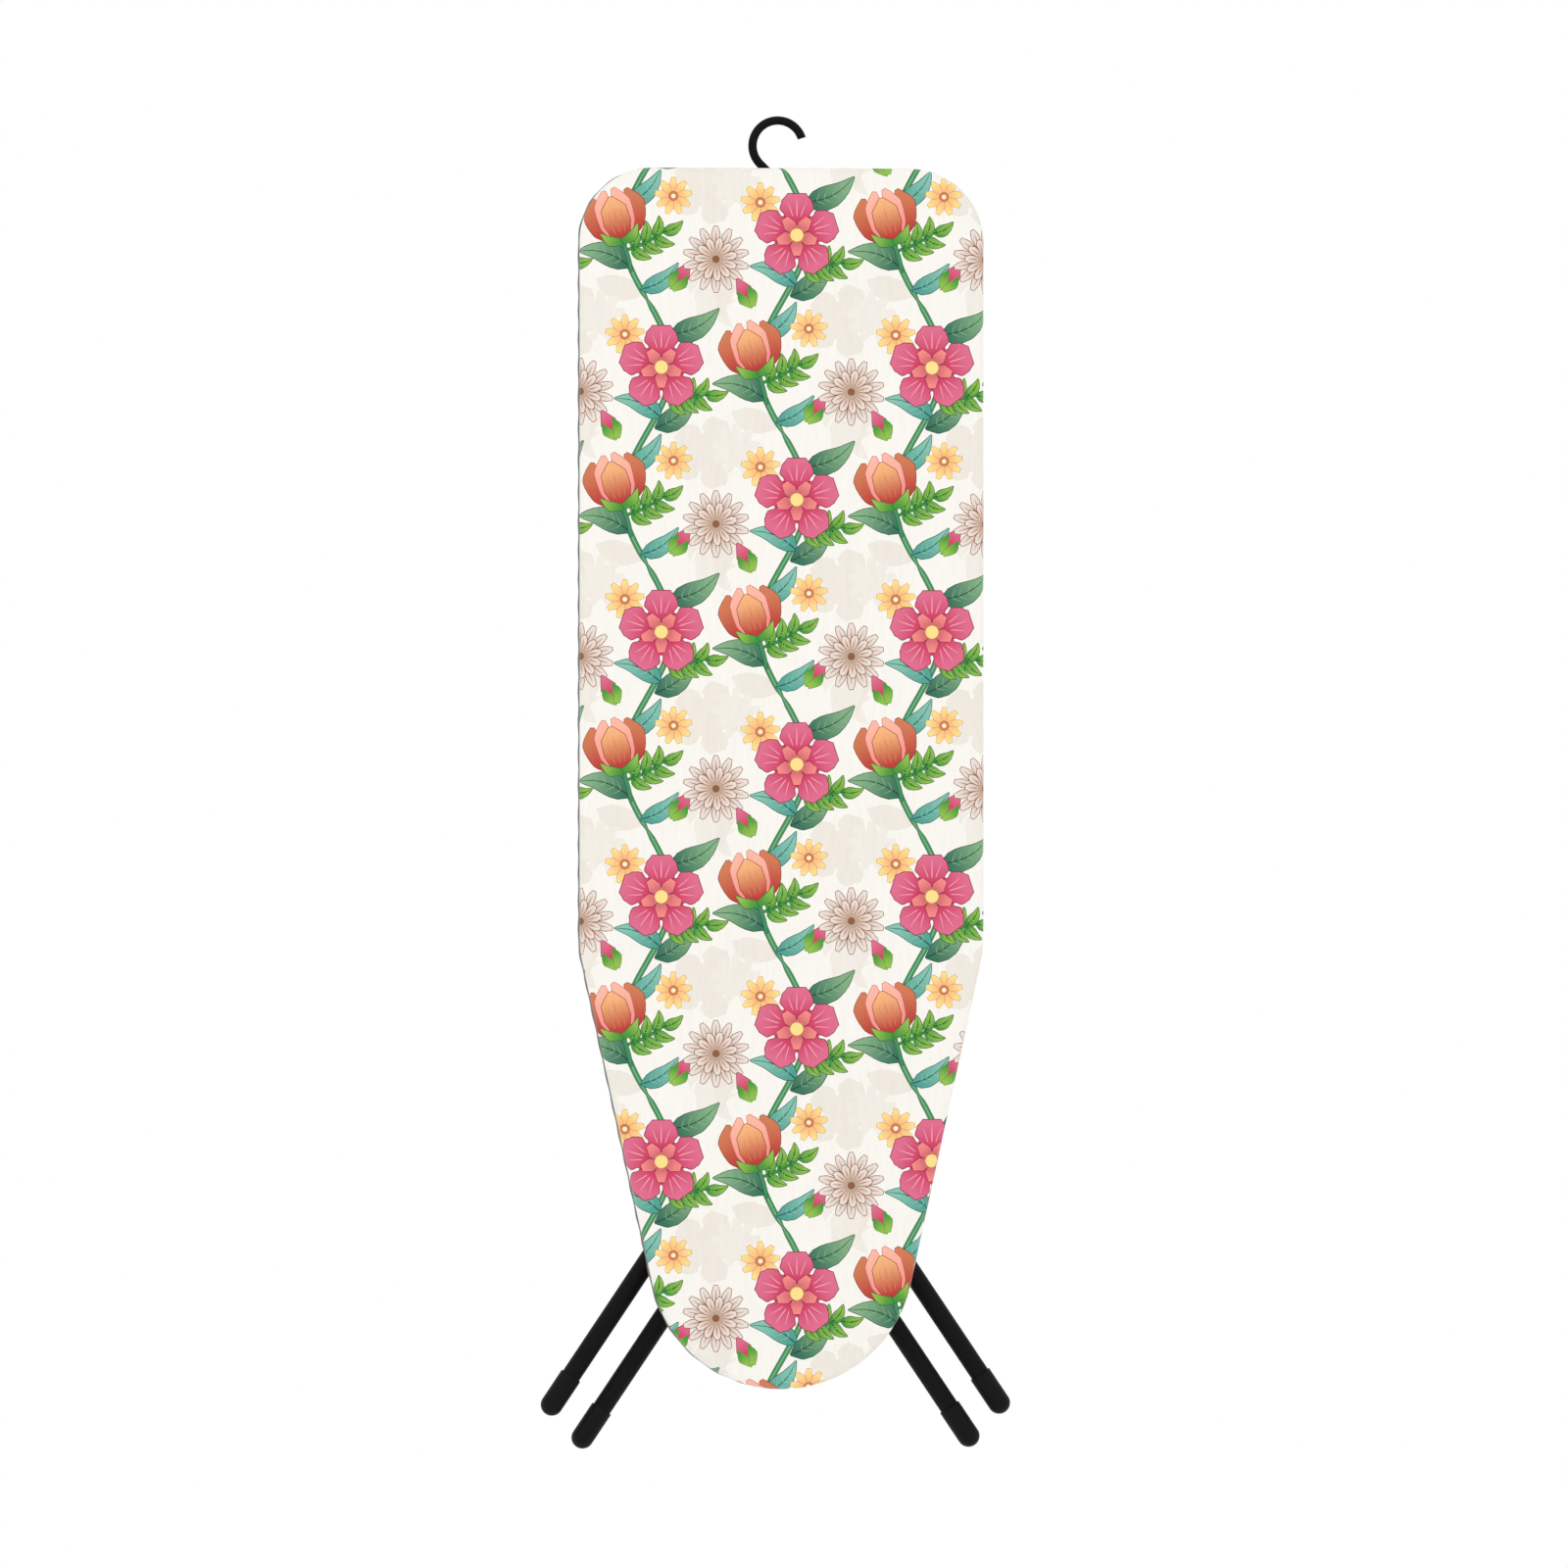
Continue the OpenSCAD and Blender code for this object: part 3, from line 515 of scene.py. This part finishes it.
def cut_cloth():
    """The flat cloth cut into triangles along every visible printed edge.

    The flat cloth is the board's outline grown by CLOTH_OUT. A first triangulation follows every
    printed outline, and each printed shape, in the order it is laid down, owns the triangles
    whose middles lie in it. A second one follows only the edges between different owners, rings
    at each fold of the cloth's edge and a grid of points, and a ray into the first finds each
    triangle's owner. Returns points, triangles and a colour for each corner."""
    boundary = outline_points(CLOTH_OUT, 6.0)
    layers = []
    for one in print_shapes():
        if outline_at(one["outline"])[0].min() > CLOTH_OUT - 4:
            continue
        if one["edge"]:
            rim = thinned(grown(one["outline"], one["edge_w"]), 0.2)
            layers.append((rim, one["edge"], None, None, None))
        line = thinned(one["outline"], 0.3 if one["ink"].startswith("faint") else 0.13)
        layers.append((line, one["ink"], one["fade"], one["from"], one["to"]))
    for i, (outline, *rest) in enumerate(layers):
        d, n, _ = outline_at(outline)
        layers[i] = (outline - n * np.maximum(d - (CLOTH_OUT - 1.0), 0)[:, None], *rest)
    loops = [boundary, *(layer[0] for layer in layers)]
    first, corners = triangulate(np.vstack(loops), loop_edges(loops), boundary)
    middles = first[corners].mean(axis=1)
    owner = np.full(len(corners), -1)
    order = np.argsort(middles[:, 1])
    for i, layer in enumerate(layers):
        owner[inside_of(layer[0], middles, order)] = i

    seen = visible_edges(corners, owner)
    used, index = np.unique(seen, return_inverse=True)
    rings = [boundary] + [outline_points(w - FRONT_ROUND, 6.0) for w in sorted(FOLD_RINGS + PAINTED_SHADE_BAND)]
    gx, gs = np.meshgrid(np.arange(-HALF_W, HALF_W + 1, CLOTH_GRID), np.arange(0, BOARD_L, CLOTH_GRID))
    grid = np.column_stack([gx.ravel() + 1.7, gs.ravel() + 1.3])
    grid = grid[outline_at(grid)[0] < -FRONT_ROUND - 5]
    ring_points = np.vstack(rings)
    edges = loop_edges(rings) + (index.reshape(-1, 2) + len(ring_points)).tolist()
    out, cut = triangulate(np.vstack([ring_points, first[used], grid]), edges, boundary)

    flat = np.column_stack([first, np.zeros(len(first))])
    tree = BVHTree.FromPolygons(flat.tolist(), corners.tolist())
    down = Vector((0, 0, -1))
    hits = [tree.ray_cast(Vector((x, y, 1)), down)[2] for x, y in out[cut].mean(axis=1)]
    owns = np.array([-1 if hit is None else owner[hit] for hit in hits])
    colour = np.empty((len(cut), 3, 3))
    colour[:] = INK["ground"]
    for i in np.unique(owns[owns >= 0]):
        _, ink, fade, a, b = layers[i]
        rows = np.nonzero(owns == i)[0]
        colour[rows] = INK[ink]
        if fade:
            run = b - a
            t = np.clip((out[cut[rows]] - a) @ run / max(run @ run, 1e-9), 0, 1)[..., None]
            t = t * t * (3 - 2 * t)
            colour[rows] = INK[ink] * (1 - t) + INK[fade] * t
    w = outline_at(out[cut].mean(axis=1))[0] + FRONT_ROUND
    # Painted shade: the band of side wall is coloured dark grey to stand in for the wall's own shade
    colour[(w > PAINTED_SHADE_BAND[0]) & (w < PAINTED_SHADE_BAND[1])] = INK["painted_wall_shade"]
    return out, cut, colour


def swell(x, s):
    """Height of the padded face in millimetres: soft waves of four lengths."""
    return (0.35 * np.sin(x / 41 + 0.6) * np.sin(s / 57 + 1.1)
            + 0.22 * np.sin(x / 19 + s / 83) + 0.18 * np.sin(s / 23 - x / 61)
            + 0.12 * np.sin(x / 11 + 2.0) * np.sin(s / 13))


def wrap_cloth(flat):
    """Where each point of the flat cloth lies once the cover is on.

    With w the distance past the flat face, the cloth follows a quarter circle of FRONT_ROUND, the
    wall, a quarter circle of BACK_ROUND and then the hem, all along the outline's normal. The
    face swells, and the hem rises in gathers that grow towards its edge and are closest where the
    outline curves."""
    d, n, length = outline_at(flat)
    w = np.maximum(d + FRONT_ROUND, 0)
    a1 = np.clip(w / FRONT_ROUND, 0, math.pi / 2)
    wall = np.clip(w - FRONT_ROUND * math.pi / 2, 0, WALL)
    a2 = np.clip((w - FRONT_ROUND * math.pi / 2 - WALL) / BACK_ROUND, 0, math.pi / 2)
    hem = np.maximum(w - HEM_START, 0)
    offset = FRONT_ROUND * (np.sin(a1) - 1) - BACK_ROUND * (1 - np.cos(a2)) - hem
    y = FACE_Y + FRONT_ROUND * (1 - np.cos(a1)) + wall + BACK_ROUND * np.sin(a2)
    foot = np.where((w > 0)[:, None], flat - n * d[:, None] + n * offset[:, None], flat)
    inner = np.clip(-(d + FRONT_ROUND) / 40, 0, 1)
    crown = inner * inner * (3 - 2 * inner)
    y = y - crown * (0.9 + swell(flat[:, 0], flat[:, 1]))
    gather = np.clip(hem / 14, 0, 1)
    ripple = np.sin(length / 2.05 + 1.2 * np.sin(length / 31)) + 0.5 * np.sin(length / 3.4 + 0.7)
    y = y + gather * 1.15 * ripple + np.clip(a2, 0, 1) * 0.25 * ripple
    channel = np.clip((hem - (HEM_W - CASING)) / CASING, 0, 1)
    y = y + 1.1 * np.sqrt(np.sin(np.pi * channel).clip(0)) * (0.7 + 0.3 * np.sin(length / 1.15))
    soft = np.clip((w - 8) / 10, 0, 1) * (1 - gather)
    offset_wave = soft * 0.35 * np.sin(length / 4.6 + 0.8 * np.sin(length / 47))
    foot = foot + n * offset_wave[:, None]
    return np.column_stack([foot[:, 0], y, HEEL_Z - foot[:, 1]]) * MM


# ---------------------------------------------------------------- mesh helpers


def new_piece(name, verts, faces, body, material, smooth_shade=True):
    """A mesh object from arrays of points and faces, with its material, riding on a body."""
    mesh = bpy.data.meshes.new(name)
    mesh.from_pydata(verts.tolist(), [], faces.tolist() if hasattr(faces, "tolist") else faces)
    mesh.update()
    if smooth_shade:
        mesh.polygons.foreach_set("use_smooth", [True] * len(mesh.polygons))
    obj = bpy.data.objects.new(name, mesh)
    bpy.context.scene.collection.objects.link(obj)
    obj.data.materials.append(material)
    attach(obj, body)
    return obj


# ---------------------------------------------------------------- materials


def group(name, inputs, outputs):
    """An empty shader node group with named value inputs and outputs, and its two end nodes."""
    tree = bpy.data.node_groups.new(name, "ShaderNodeTree")
    for label, kind, value in inputs:
        sock = tree.interface.new_socket(label, in_out="INPUT", socket_type=kind)
        if value is not None:
            sock.default_value = value
    for label, kind in outputs:
        tree.interface.new_socket(label, in_out="OUTPUT", socket_type=kind)
    return tree, tree.nodes.new("NodeGroupInput"), tree.nodes.new("NodeGroupOutput")


def add(tree, kind, **settings):
    """A node with its settings; keys that name an input set that input."""
    node = tree.nodes.new(kind)
    for key, value in settings.items():
        if hasattr(node, key):
            setattr(node, key, value)
        else:
            node.inputs[key.replace("_", " ")].default_value = value
    return node


def maths(tree, operation, a, b=None):
    """A Math node on two sockets or numbers."""
    node = tree.nodes.new("ShaderNodeMath")
    node.operation = operation
    for socket, value in zip(node.inputs, (a, b)):
        if value is None:
            continue
        if isinstance(value, (int, float)):
            socket.default_value = value
        else:
            tree.links.new(value, socket)
    return node.outputs[0]


def weave_group():
    """Plain weave: two crossed sets of threads from sine waves, with thread-to-thread noise."""
    tree, into, out = group(
        "weave",
        [("Vector", "NodeSocketVector", None), ("Threads", "NodeSocketFloat", 1100.0)],
        [("Height", "NodeSocketFloat"), ("Slub", "NodeSocketFloat")],
    )
    split = add(tree, "ShaderNodeSeparateXYZ")
    tree.links.new(into.outputs["Vector"], split.inputs[0])
    warp = maths(tree, "SINE", maths(tree, "MULTIPLY", split.outputs[0], into.outputs["Threads"]))
    weft = maths(tree, "SINE", maths(tree, "MULTIPLY", split.outputs[2], into.outputs["Threads"]))
    crossed = maths(tree, "MULTIPLY", warp, weft)
    tree.links.new(crossed, out.inputs["Height"])
    slub = add(tree, "ShaderNodeTexNoise", Scale=260.0, Detail=3.0)
    stretch = add(tree, "ShaderNodeMapping")
    stretch.inputs["Scale"].default_value = (1.0, 1.0, 0.18)
    tree.links.new(into.outputs["Vector"], stretch.inputs["Vector"])
    tree.links.new(stretch.outputs[0], slub.inputs["Vector"])
    tree.links.new(slub.outputs[0], out.inputs["Slub"])
    return tree


def grain_group():
    """Fine grain of a coated or moulded surface, with a broad cloudiness."""
    tree, into, out = group(
        "grain",
        [("Vector", "NodeSocketVector", None), ("Fineness", "NodeSocketFloat", 900.0)],
        [("Height", "NodeSocketFloat"), ("Cloud", "NodeSocketFloat")],
    )
    fine = add(tree, "ShaderNodeTexNoise", Detail=2.0)
    cloud = add(tree, "ShaderNodeTexNoise", Scale=14.0, Detail=3.0)
    for node in (fine, cloud):
        tree.links.new(into.outputs["Vector"], node.inputs["Vector"])
    tree.links.new(into.outputs["Fineness"], fine.inputs["Scale"])
    tree.links.new(fine.outputs[0], out.inputs["Height"])
    tree.links.new(cloud.outputs[0], out.inputs["Cloud"])
    return tree


WEAVE = weave_group()
GRAIN = grain_group()


def base_material(name, rough, **values):
    """A material with a Principled BSDF, its Object coordinates and the shader's own values."""
    mat = bpy.data.materials.new(name)
    mat.use_nodes = True
    tree = mat.node_tree
    shader = tree.nodes["Principled BSDF"]
    shader.inputs["Roughness"].default_value = rough
    for key, value in values.items():
        shader.inputs[key.replace("_", " ")].default_value = value
    where = tree.nodes.new("ShaderNodeTexCoord")
    return mat, tree, shader, where.outputs["Object"]


def use_group(tree, which, vector, **values):
    """Places a node group, fed with a vector and its own values."""
    node = tree.nodes.new("ShaderNodeGroup")
    node.node_tree = which
    tree.links.new(vector, node.inputs["Vector"])
    for key, value in values.items():
        node.inputs[key].default_value = value
    return node


def ranged(tree, value, low, high):
    """A Map Range node from 0..1 to low..high."""
    node = add(tree, "ShaderNodeMapRange")
    node.inputs["To Min"].default_value = low
    node.inputs["To Max"].default_value = high
    tree.links.new(value, node.inputs["Value"])
    return node.outputs[0]


def bump(tree, shader, height, strength, distance):
    """A Bump node into the shader's normal."""
    node = add(tree, "ShaderNodeBump", Strength=strength, Distance=distance)
    tree.links.new(height, node.inputs["Height"])
    tree.links.new(node.outputs[0], shader.inputs["Normal"])


def printed_cotton():
    """The cover's cloth: the print's inks, varied a little in tone by noise streaked along the board's
    length.
    """
    mat, tree, shader, where = base_material(
        "printed_cotton", 0.86, Sheen_Weight=0.25, Sheen_Roughness=0.5, Specular_IOR_Level=0.25)
    ink = add(tree, "ShaderNodeAttribute", attribute_name="print_ink")
    weave = use_group(tree, WEAVE, where, Threads=4200.0)
    shade = add(tree, "ShaderNodeMix", data_type="RGBA", blend_type="MULTIPLY")
    shade.inputs[0].default_value = 1.0
    tone = ranged(tree, weave.outputs["Slub"], 0.95, 1.05)
    grey = add(tree, "ShaderNodeCombineColor")
    for i in range(3):
        tree.links.new(tone, grey.inputs[i])
    tree.links.new(ink.outputs["Color"], shade.inputs[6])
    tree.links.new(grey.outputs[0], shade.inputs[7])
    tree.links.new(shade.outputs[2], shader.inputs["Base Color"])
    bump(tree, shader, weave.outputs["Height"], 0.25, 0.0002)
    return mat


def coated(name, colour, rough, fineness, strength, **values):
    """A coated or moulded surface: cloudy roughness and a fine grain."""
    mat, tree, shader, where = base_material(name, rough, **values)
    grain = use_group(tree, GRAIN, where, Fineness=fineness)
    ramp = add(tree, "ShaderNodeValToRGB")
    dark = [c * 0.82 for c in colour]
    light = [c * 1.2 for c in colour]
    ramp.color_ramp.elements[0].color = (*dark, 1)
    ramp.color_ramp.elements[1].color = (*light, 1)
    tree.links.new(grain.outputs["Cloud"], ramp.inputs[0])
    tree.links.new(ramp.outputs[0], shader.inputs["Base Color"])
    tree.links.new(ranged(tree, grain.outputs["Cloud"], rough - 0.07, rough + 0.07),
                   shader.inputs["Roughness"])
    bump(tree, shader, grain.outputs["Height"], strength, 0.0002)
    return mat


BLACK_COAT = coated("black_powder_coat", (0.0075, 0.0075, 0.008), 0.46, 1400.0, 0.35,
                    Specular_IOR_Level=0.16)
LEG_COAT = coated("leg_powder_coat", (0.0045, 0.0045, 0.0047), 0.5, 1600.0, 0.3, Specular_IOR_Level=0.08)
HOOK_COAT = coated("hook_coating", (0.0045, 0.0045, 0.0047), 0.5, 900.0, 0.2, Specular_IOR_Level=0.08)
MOULDING = coated("black_moulding", (0.010, 0.010, 0.0105), 0.55, 700.0, 0.4, Specular_IOR_Level=0.25)
FOOT_MOULDING = coated("foot_moulding", (0.0040, 0.0040, 0.0042), 0.5, 650.0, 0.35, Specular_IOR_Level=0.1)
RUBBER = coated("bumper_rubber", (0.02, 0.02, 0.02), 0.8, 500.0, 0.5)
ZINC = coated("zinc_plate", (0.55, 0.56, 0.58), 0.34, 300.0, 0.1, Metallic=1.0)
FELT = coated("needled_felt", (0.56, 0.54, 0.5), 0.95, 420.0, 1.0, Sheen_Weight=0.3)
COTTON = printed_cotton()
THREAD = coated("hem_thread", (0.8, 0.78, 0.72), 0.8, 1500.0, 0.5)


# ---------------------------------------------------------------- pieces


def make_cover():
    """The printed cover, as one sheet wrapped from the flat cut."""
    flat, tris, colour = cut_cloth()
    verts = wrap_cloth(flat)
    a, b, c = (verts[tris[:, i]] for i in range(3))
    fine = np.linalg.norm(np.cross(b - a, c - a), axis=1) > 1e-13
    tris, colour = tris[fine], colour[fine]
    ab, ac = flat[tris[:, 1]] - flat[tris[:, 0]], flat[tris[:, 2]] - flat[tris[:, 0]]
    swap = ab[:, 0] * ac[:, 1] - ab[:, 1] * ac[:, 0] < 0
    tris[swap] = tris[swap][:, [0, 2, 1]]
    colour[swap] = colour[swap][:, [0, 2, 1]]
    cover = new_piece("printed_cover", verts, tris, "board", COTTON)
    ink = cover.data.color_attributes.new("print_ink", "FLOAT_COLOR", "CORNER")
    rgba = np.ones((len(tris) * 3, 4), np.float32)
    rgba[:, :3] = colour.reshape(-1, 3)
    ink.data.foreach_set("color", rgba.ravel())
    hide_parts("cover")
    return cover


def make_pad():
    """The felt pad: a slab whose front follows the cover, with pressed, rounded edges. Rings
    along the outline follow the edge's profile, and each face is filled inside its last ring."""
    low, high = PAD_LOW[1], PAD_HIGH[1]
    thick = high - low
    inset = HALF_W - PAD_HIGH[0]
    profile = [(inset + 14, low), (inset + 7, low + 0.15), (inset + 3, low + 0.6),
               (inset + 1, low + 1.6), (inset + 0.3, low + 0.45 * thick), (inset + 0.5, high - 1.6),
               (inset + 1.4, high - 0.5), (inset + 4, high - 0.05), (inset + 14, high)]
    rings = [outline_points(-d, 7.0) for d, _ in profile]
    n = len(rings[0])
    gx, gs = np.meshgrid(np.arange(-HALF_W, HALF_W, 7.0), np.arange(0, BOARD_L, 7.0))
    grid = np.column_stack([gx.ravel() + 2.1, gs.ravel() + 1.9])
    grid = grid[outline_at(grid)[0] < -profile[0][0] - 4]
    out, fill = triangulate(np.vstack([rings[0], grid]), loop_edges([rings[0]]), rings[0])
    verts, faces = [], []

    def lift(flat, y, front):
        d = outline_at(flat)[0]
        crown = np.clip(-(d + FRONT_ROUND) / 40, 0, 1) ** 2
        felt = 0.16 * np.sin(flat[:, 0] / 3.1 + flat[:, 1] / 7) * np.sin(flat[:, 1] / 3.7)
        bulge = crown * (0.5 + 0.7 * swell(flat[:, 0], flat[:, 1])) if front else 0
        return np.column_stack([flat[:, 0], y - bulge + (felt if front else felt * 0.6),
                                HEEL_Z - flat[:, 1]])

    for (_, y), ring in zip(profile, rings):
        verts.append(lift(ring, np.full(n, y), y < low + 1))
    for k in range(len(profile) - 1):
        for i in range(n):
            j = (i + 1) % n
            faces.append((k * n + i, k * n + j, (k + 1) * n + j, (k + 1) * n + i))
    base = n * len(profile)
    for front, y, ring_at in ((True, low, 0), (False, high, (len(profile) - 1) * n)):
        cap = lift(out, np.full(len(out), y), front)
        verts.append(cap[n:])
        remap = np.concatenate([np.arange(n) + ring_at, np.arange(len(out) - n) + base])
        base += len(out) - n
        tri = remap[fill]
        faces += [tuple(t) for t in (tri if front else tri[:, ::-1])]
    verts = np.vstack(verts)
    pad = new_piece("felt_pad", verts * MM, [tuple(int(i) for i in f) for f in faces], "board", FELT)
    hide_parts("pad")
    return pad


def make_deck():
    """The deck as expanded metal: nodes stand in rows, every other row shifted by half a pitch,
    and each node sends two strands to the row below. A strand is a thin ribbon tilted about its
    own length, and those that cross the deck's edge stop there."""
    pitch, row, wide, tilt = 16.0, 5.2, 1.7, 0.22
    y_mid = (DECK_LOW[1] + DECK_HIGH[1]) / 2
    half_t = (DECK_HIGH[1] - DECK_LOW[1]) / 2 - tilt
    edge = HALF_W - DECK_HIGH[0] + 1.0
    rows = np.arange(0, int(BOARD_L / row) + 1)
    cols = np.arange(-14, 15)
    c, r = np.meshgrid(cols, rows)
    start = np.column_stack([(c * pitch + (r % 2) * pitch / 2).ravel(), (r * row).ravel()])
    a = np.vstack([start, start])
    step = np.array([pitch / 2, row])
    b = np.vstack([start + step, start + step * [-1, 1]])
    in_a, in_b = (outline_at(p)[0] < -edge for p in (a, b))
    keep = in_a | in_b
    a, b, in_a, in_b = a[keep], b[keep], in_a[keep], in_b[keep]
    lo, hi = np.where(in_a[:, None], a, b), np.where(in_a[:, None], b, a)
    cross = ~(in_a & in_b)
    t0, t1 = np.zeros(len(a)), np.ones(len(a))
    for _ in range(12):
        t = (t0 + t1) / 2
        inside = outline_at(lo + (hi - lo) * t[:, None])[0] < -edge
        t0, t1 = np.where(inside, t, t0), np.where(inside, t1, t)
    end = np.where(cross[:, None], lo + (hi - lo) * t0[:, None], hi)
    a, b = lo, end
    run = b - a
    length = np.hypot(run[:, 0], run[:, 1])
    keep = length > 0.8
    a, b, run, length = a[keep], b[keep], run[keep], length[keep]
    side = np.column_stack([-run[:, 1], run[:, 0]]) / length[:, None]
    side *= np.sign(side[:, 1])[:, None]
    corners = []
    for p in (a, b):
        for across, out in ((1, 1), (1, -1), (-1, -1), (-1, 1)):
            flat = p + side * (across * wide / 2)
            y = np.full(len(p), y_mid + across * tilt + out * half_t)
            corners.append(np.column_stack([flat[:, 0], y, HEEL_Z - flat[:, 1]]))
    verts = np.stack(corners, axis=1).reshape(-1, 3)
    quads = np.array([(0, 1, 5, 4), (1, 2, 6, 5), (2, 3, 7, 6), (3, 0, 4, 7), (3, 2, 1, 0), (4, 5, 6, 7)])
    count = len(a)
    faces = (np.arange(count)[:, None, None] * 8 + quads[None]).reshape(count, 6, 4)
    box = verts.reshape(count, 8, 3)
    way = np.cross(box[:, 1] - box[:, 0], box[:, 4] - box[:, 0])
    outward = np.einsum("ij,ij->i", way, box[:, [0, 1, 4, 5]].mean(axis=1) - box.mean(axis=1))
    faces[outward < 0] = faces[outward < 0][:, :, ::-1]
    deck = new_piece("mesh_deck", verts * MM, faces.reshape(-1, 4), "board", BLACK_COAT,
                     smooth_shade=False)
    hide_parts("deck")


def make_stitches():
    """The hem's stitching: short threads along a line just outside the elastic's channel."""
    ring = outline_points(CLOTH_OUT - CASING - 1.2, 1.0)
    path = wrap_cloth(ring)
    seg = np.linalg.norm(np.diff(path, axis=0), axis=1)
    along = np.concatenate([[0], np.cumsum(seg)])
    pitch, thread, r = 3.2 * MM, 2.3 * MM, 0.28 * MM
    starts = np.arange(0, along[-1] - pitch, pitch)
    out_v, out_f = [], []
    for at in starts:
        ends = [np.array([np.interp(at + t, along, path[:, k]) for k in range(3)])
                for t in (0, thread * 0.25, thread * 0.75, thread)]
        lift = np.array([0, 0.25 * MM, 0])
        ends = [ends[0] - lift, ends[1] + lift, ends[2] + lift, ends[3] - lift]
        d = ends[3] - ends[0]
        d /= np.linalg.norm(d)
        u = np.cross(d, [0, 1, 0])
        u /= np.linalg.norm(u)
        v = np.cross(d, u)
        base = len(out_v)
        for k, e in enumerate(ends):
            for q in range(4):
                ang = math.pi / 2 * q
                out_v.append(e + r * (u * math.cos(ang) + v * math.sin(ang)))
        for k in range(3):
            for q in range(4):
                n = (q + 1) % 4
                out_f.append((base + k * 4 + q, base + k * 4 + n, base + k * 4 + 4 + n,
                              base + k * 4 + 4 + q))
        out_f += [(base + 3, base + 2, base + 1, base), (base + 12, base + 13, base + 14, base + 15)]
    return new_piece("hem_stitches", np.array(out_v), out_f, "board", THREAD)


def cut_area():
    """Area of the flat cloth in square metres."""
    p = outline_points(CLOTH_OUT) * MM
    q = np.roll(p, -1, axis=0)
    return float(abs(np.sum(p[:, 0] * q[:, 1] - p[:, 1] * q[:, 0])) / 2)


cover = make_cover()
pad = make_pad()
stitches = make_stitches()
cut_area()
make_deck()

FINISHES = {
    "frame_powder_coat": BLACK_COAT, "leg_powder_coat": LEG_COAT, "hook_coating": HOOK_COAT,
    "black_moulding": MOULDING, "foot_moulding": FOOT_MOULDING, "bumper_rubber": RUBBER,
    "zinc_steel": ZINC, "pad_felt": FELT, "deck_mesh": BLACK_COAT, "cover_cotton": COTTON,
}
for part in frame["record"]["subparts"]:
    node = frame["nodes"][part["node"]]
    node.data.materials.clear()
    node.data.materials.append(FINISHES[part["material_slot"]])

# ---------------------------------------------------------------- stage


def make_stage():
    """A pale floor below the feet, a white world and soft panels of light."""
    low, high = (np.array(corner) for corner in cad_box)
    mesh = bpy.data.meshes.new("floor")
    size, z = 1.5, low[2] - 0.3
    corners = [(-size, -size, z), (size, -size, z), (size, size / 2, z), (-size, size / 2, z)]
    mesh.from_pydata(corners, [], [(0, 1, 2, 3)])
    floor = bpy.data.objects.new("floor", mesh)
    bpy.context.scene.collection.objects.link(floor)
    mat, tree, shader, _ = base_material("pale_floor", 0.9)
    shader.inputs["Base Color"].default_value = (0.95, 0.95, 0.95, 1)
    floor.data.materials.append(mat)

    world = bpy.data.worlds.new("white_room")
    bpy.context.scene.world = world
    world.use_nodes = True
    world.node_tree.nodes["Background"].inputs[0].default_value = (1, 1, 1, 1)
    world.node_tree.nodes["Background"].inputs[1].default_value = 1.0

    middle = Vector((low + high) / 2)
    for name, at, size, power in (
        ("front_left_panel", (-1.6, -2.6, 1.0), 1.6, 7),
        ("front_right_panel", (1.8, -2.4, 0.6), 1.4, 3),
        ("back_panel", (0.6, 2.6, 1.4), 1.8, 8),
    ):
        data = bpy.data.lights.new(name, "AREA")
        data.energy, data.size = power, size
        lamp = bpy.data.objects.new(name, data)
        lamp.location = middle + Vector(at)
        lamp.rotation_mode = "QUATERNION"
        lamp.rotation_quaternion = (middle - lamp.location).to_track_quat("-Z", "Y")
        bpy.context.scene.collection.objects.link(lamp)


def make_camera():
    """A long lens a little to the left of the board's front, aimed at a point aim_x right of the
    middle and aim_s below the heel edge, from frame_height lens / sensor away."""
    aim_x, aim_s = 1.45, 605.3
    data = bpy.data.cameras.new("camera")
    data.lens, data.sensor_width = 400.0, 36.0
    camera = bpy.data.objects.new("camera", data)
    bpy.context.scene.collection.objects.link(camera)
    bpy.context.scene.camera = camera
    azimuth = math.radians(-7.0)
    back = Vector((math.sin(azimuth), -math.cos(azimuth), 0.0))
    frame_height = 1.5405
    distance = frame_height * data.lens / data.sensor_width
    face = Vector((0.0, FACE_Y * MM, (HEEL_Z - aim_s) * MM))
    right = Vector((math.cos(azimuth), math.sin(azimuth), 0.0))
    camera.location = face + back * distance + right * (aim_x * MM)
    camera.rotation_mode = "QUATERNION"
    camera.rotation_quaternion = (-back).to_track_quat("-Z", "Y")
    data.clip_end = 100.0


make_stage()
make_camera()
bpy.context.scene.view_settings.view_transform = "Standard"
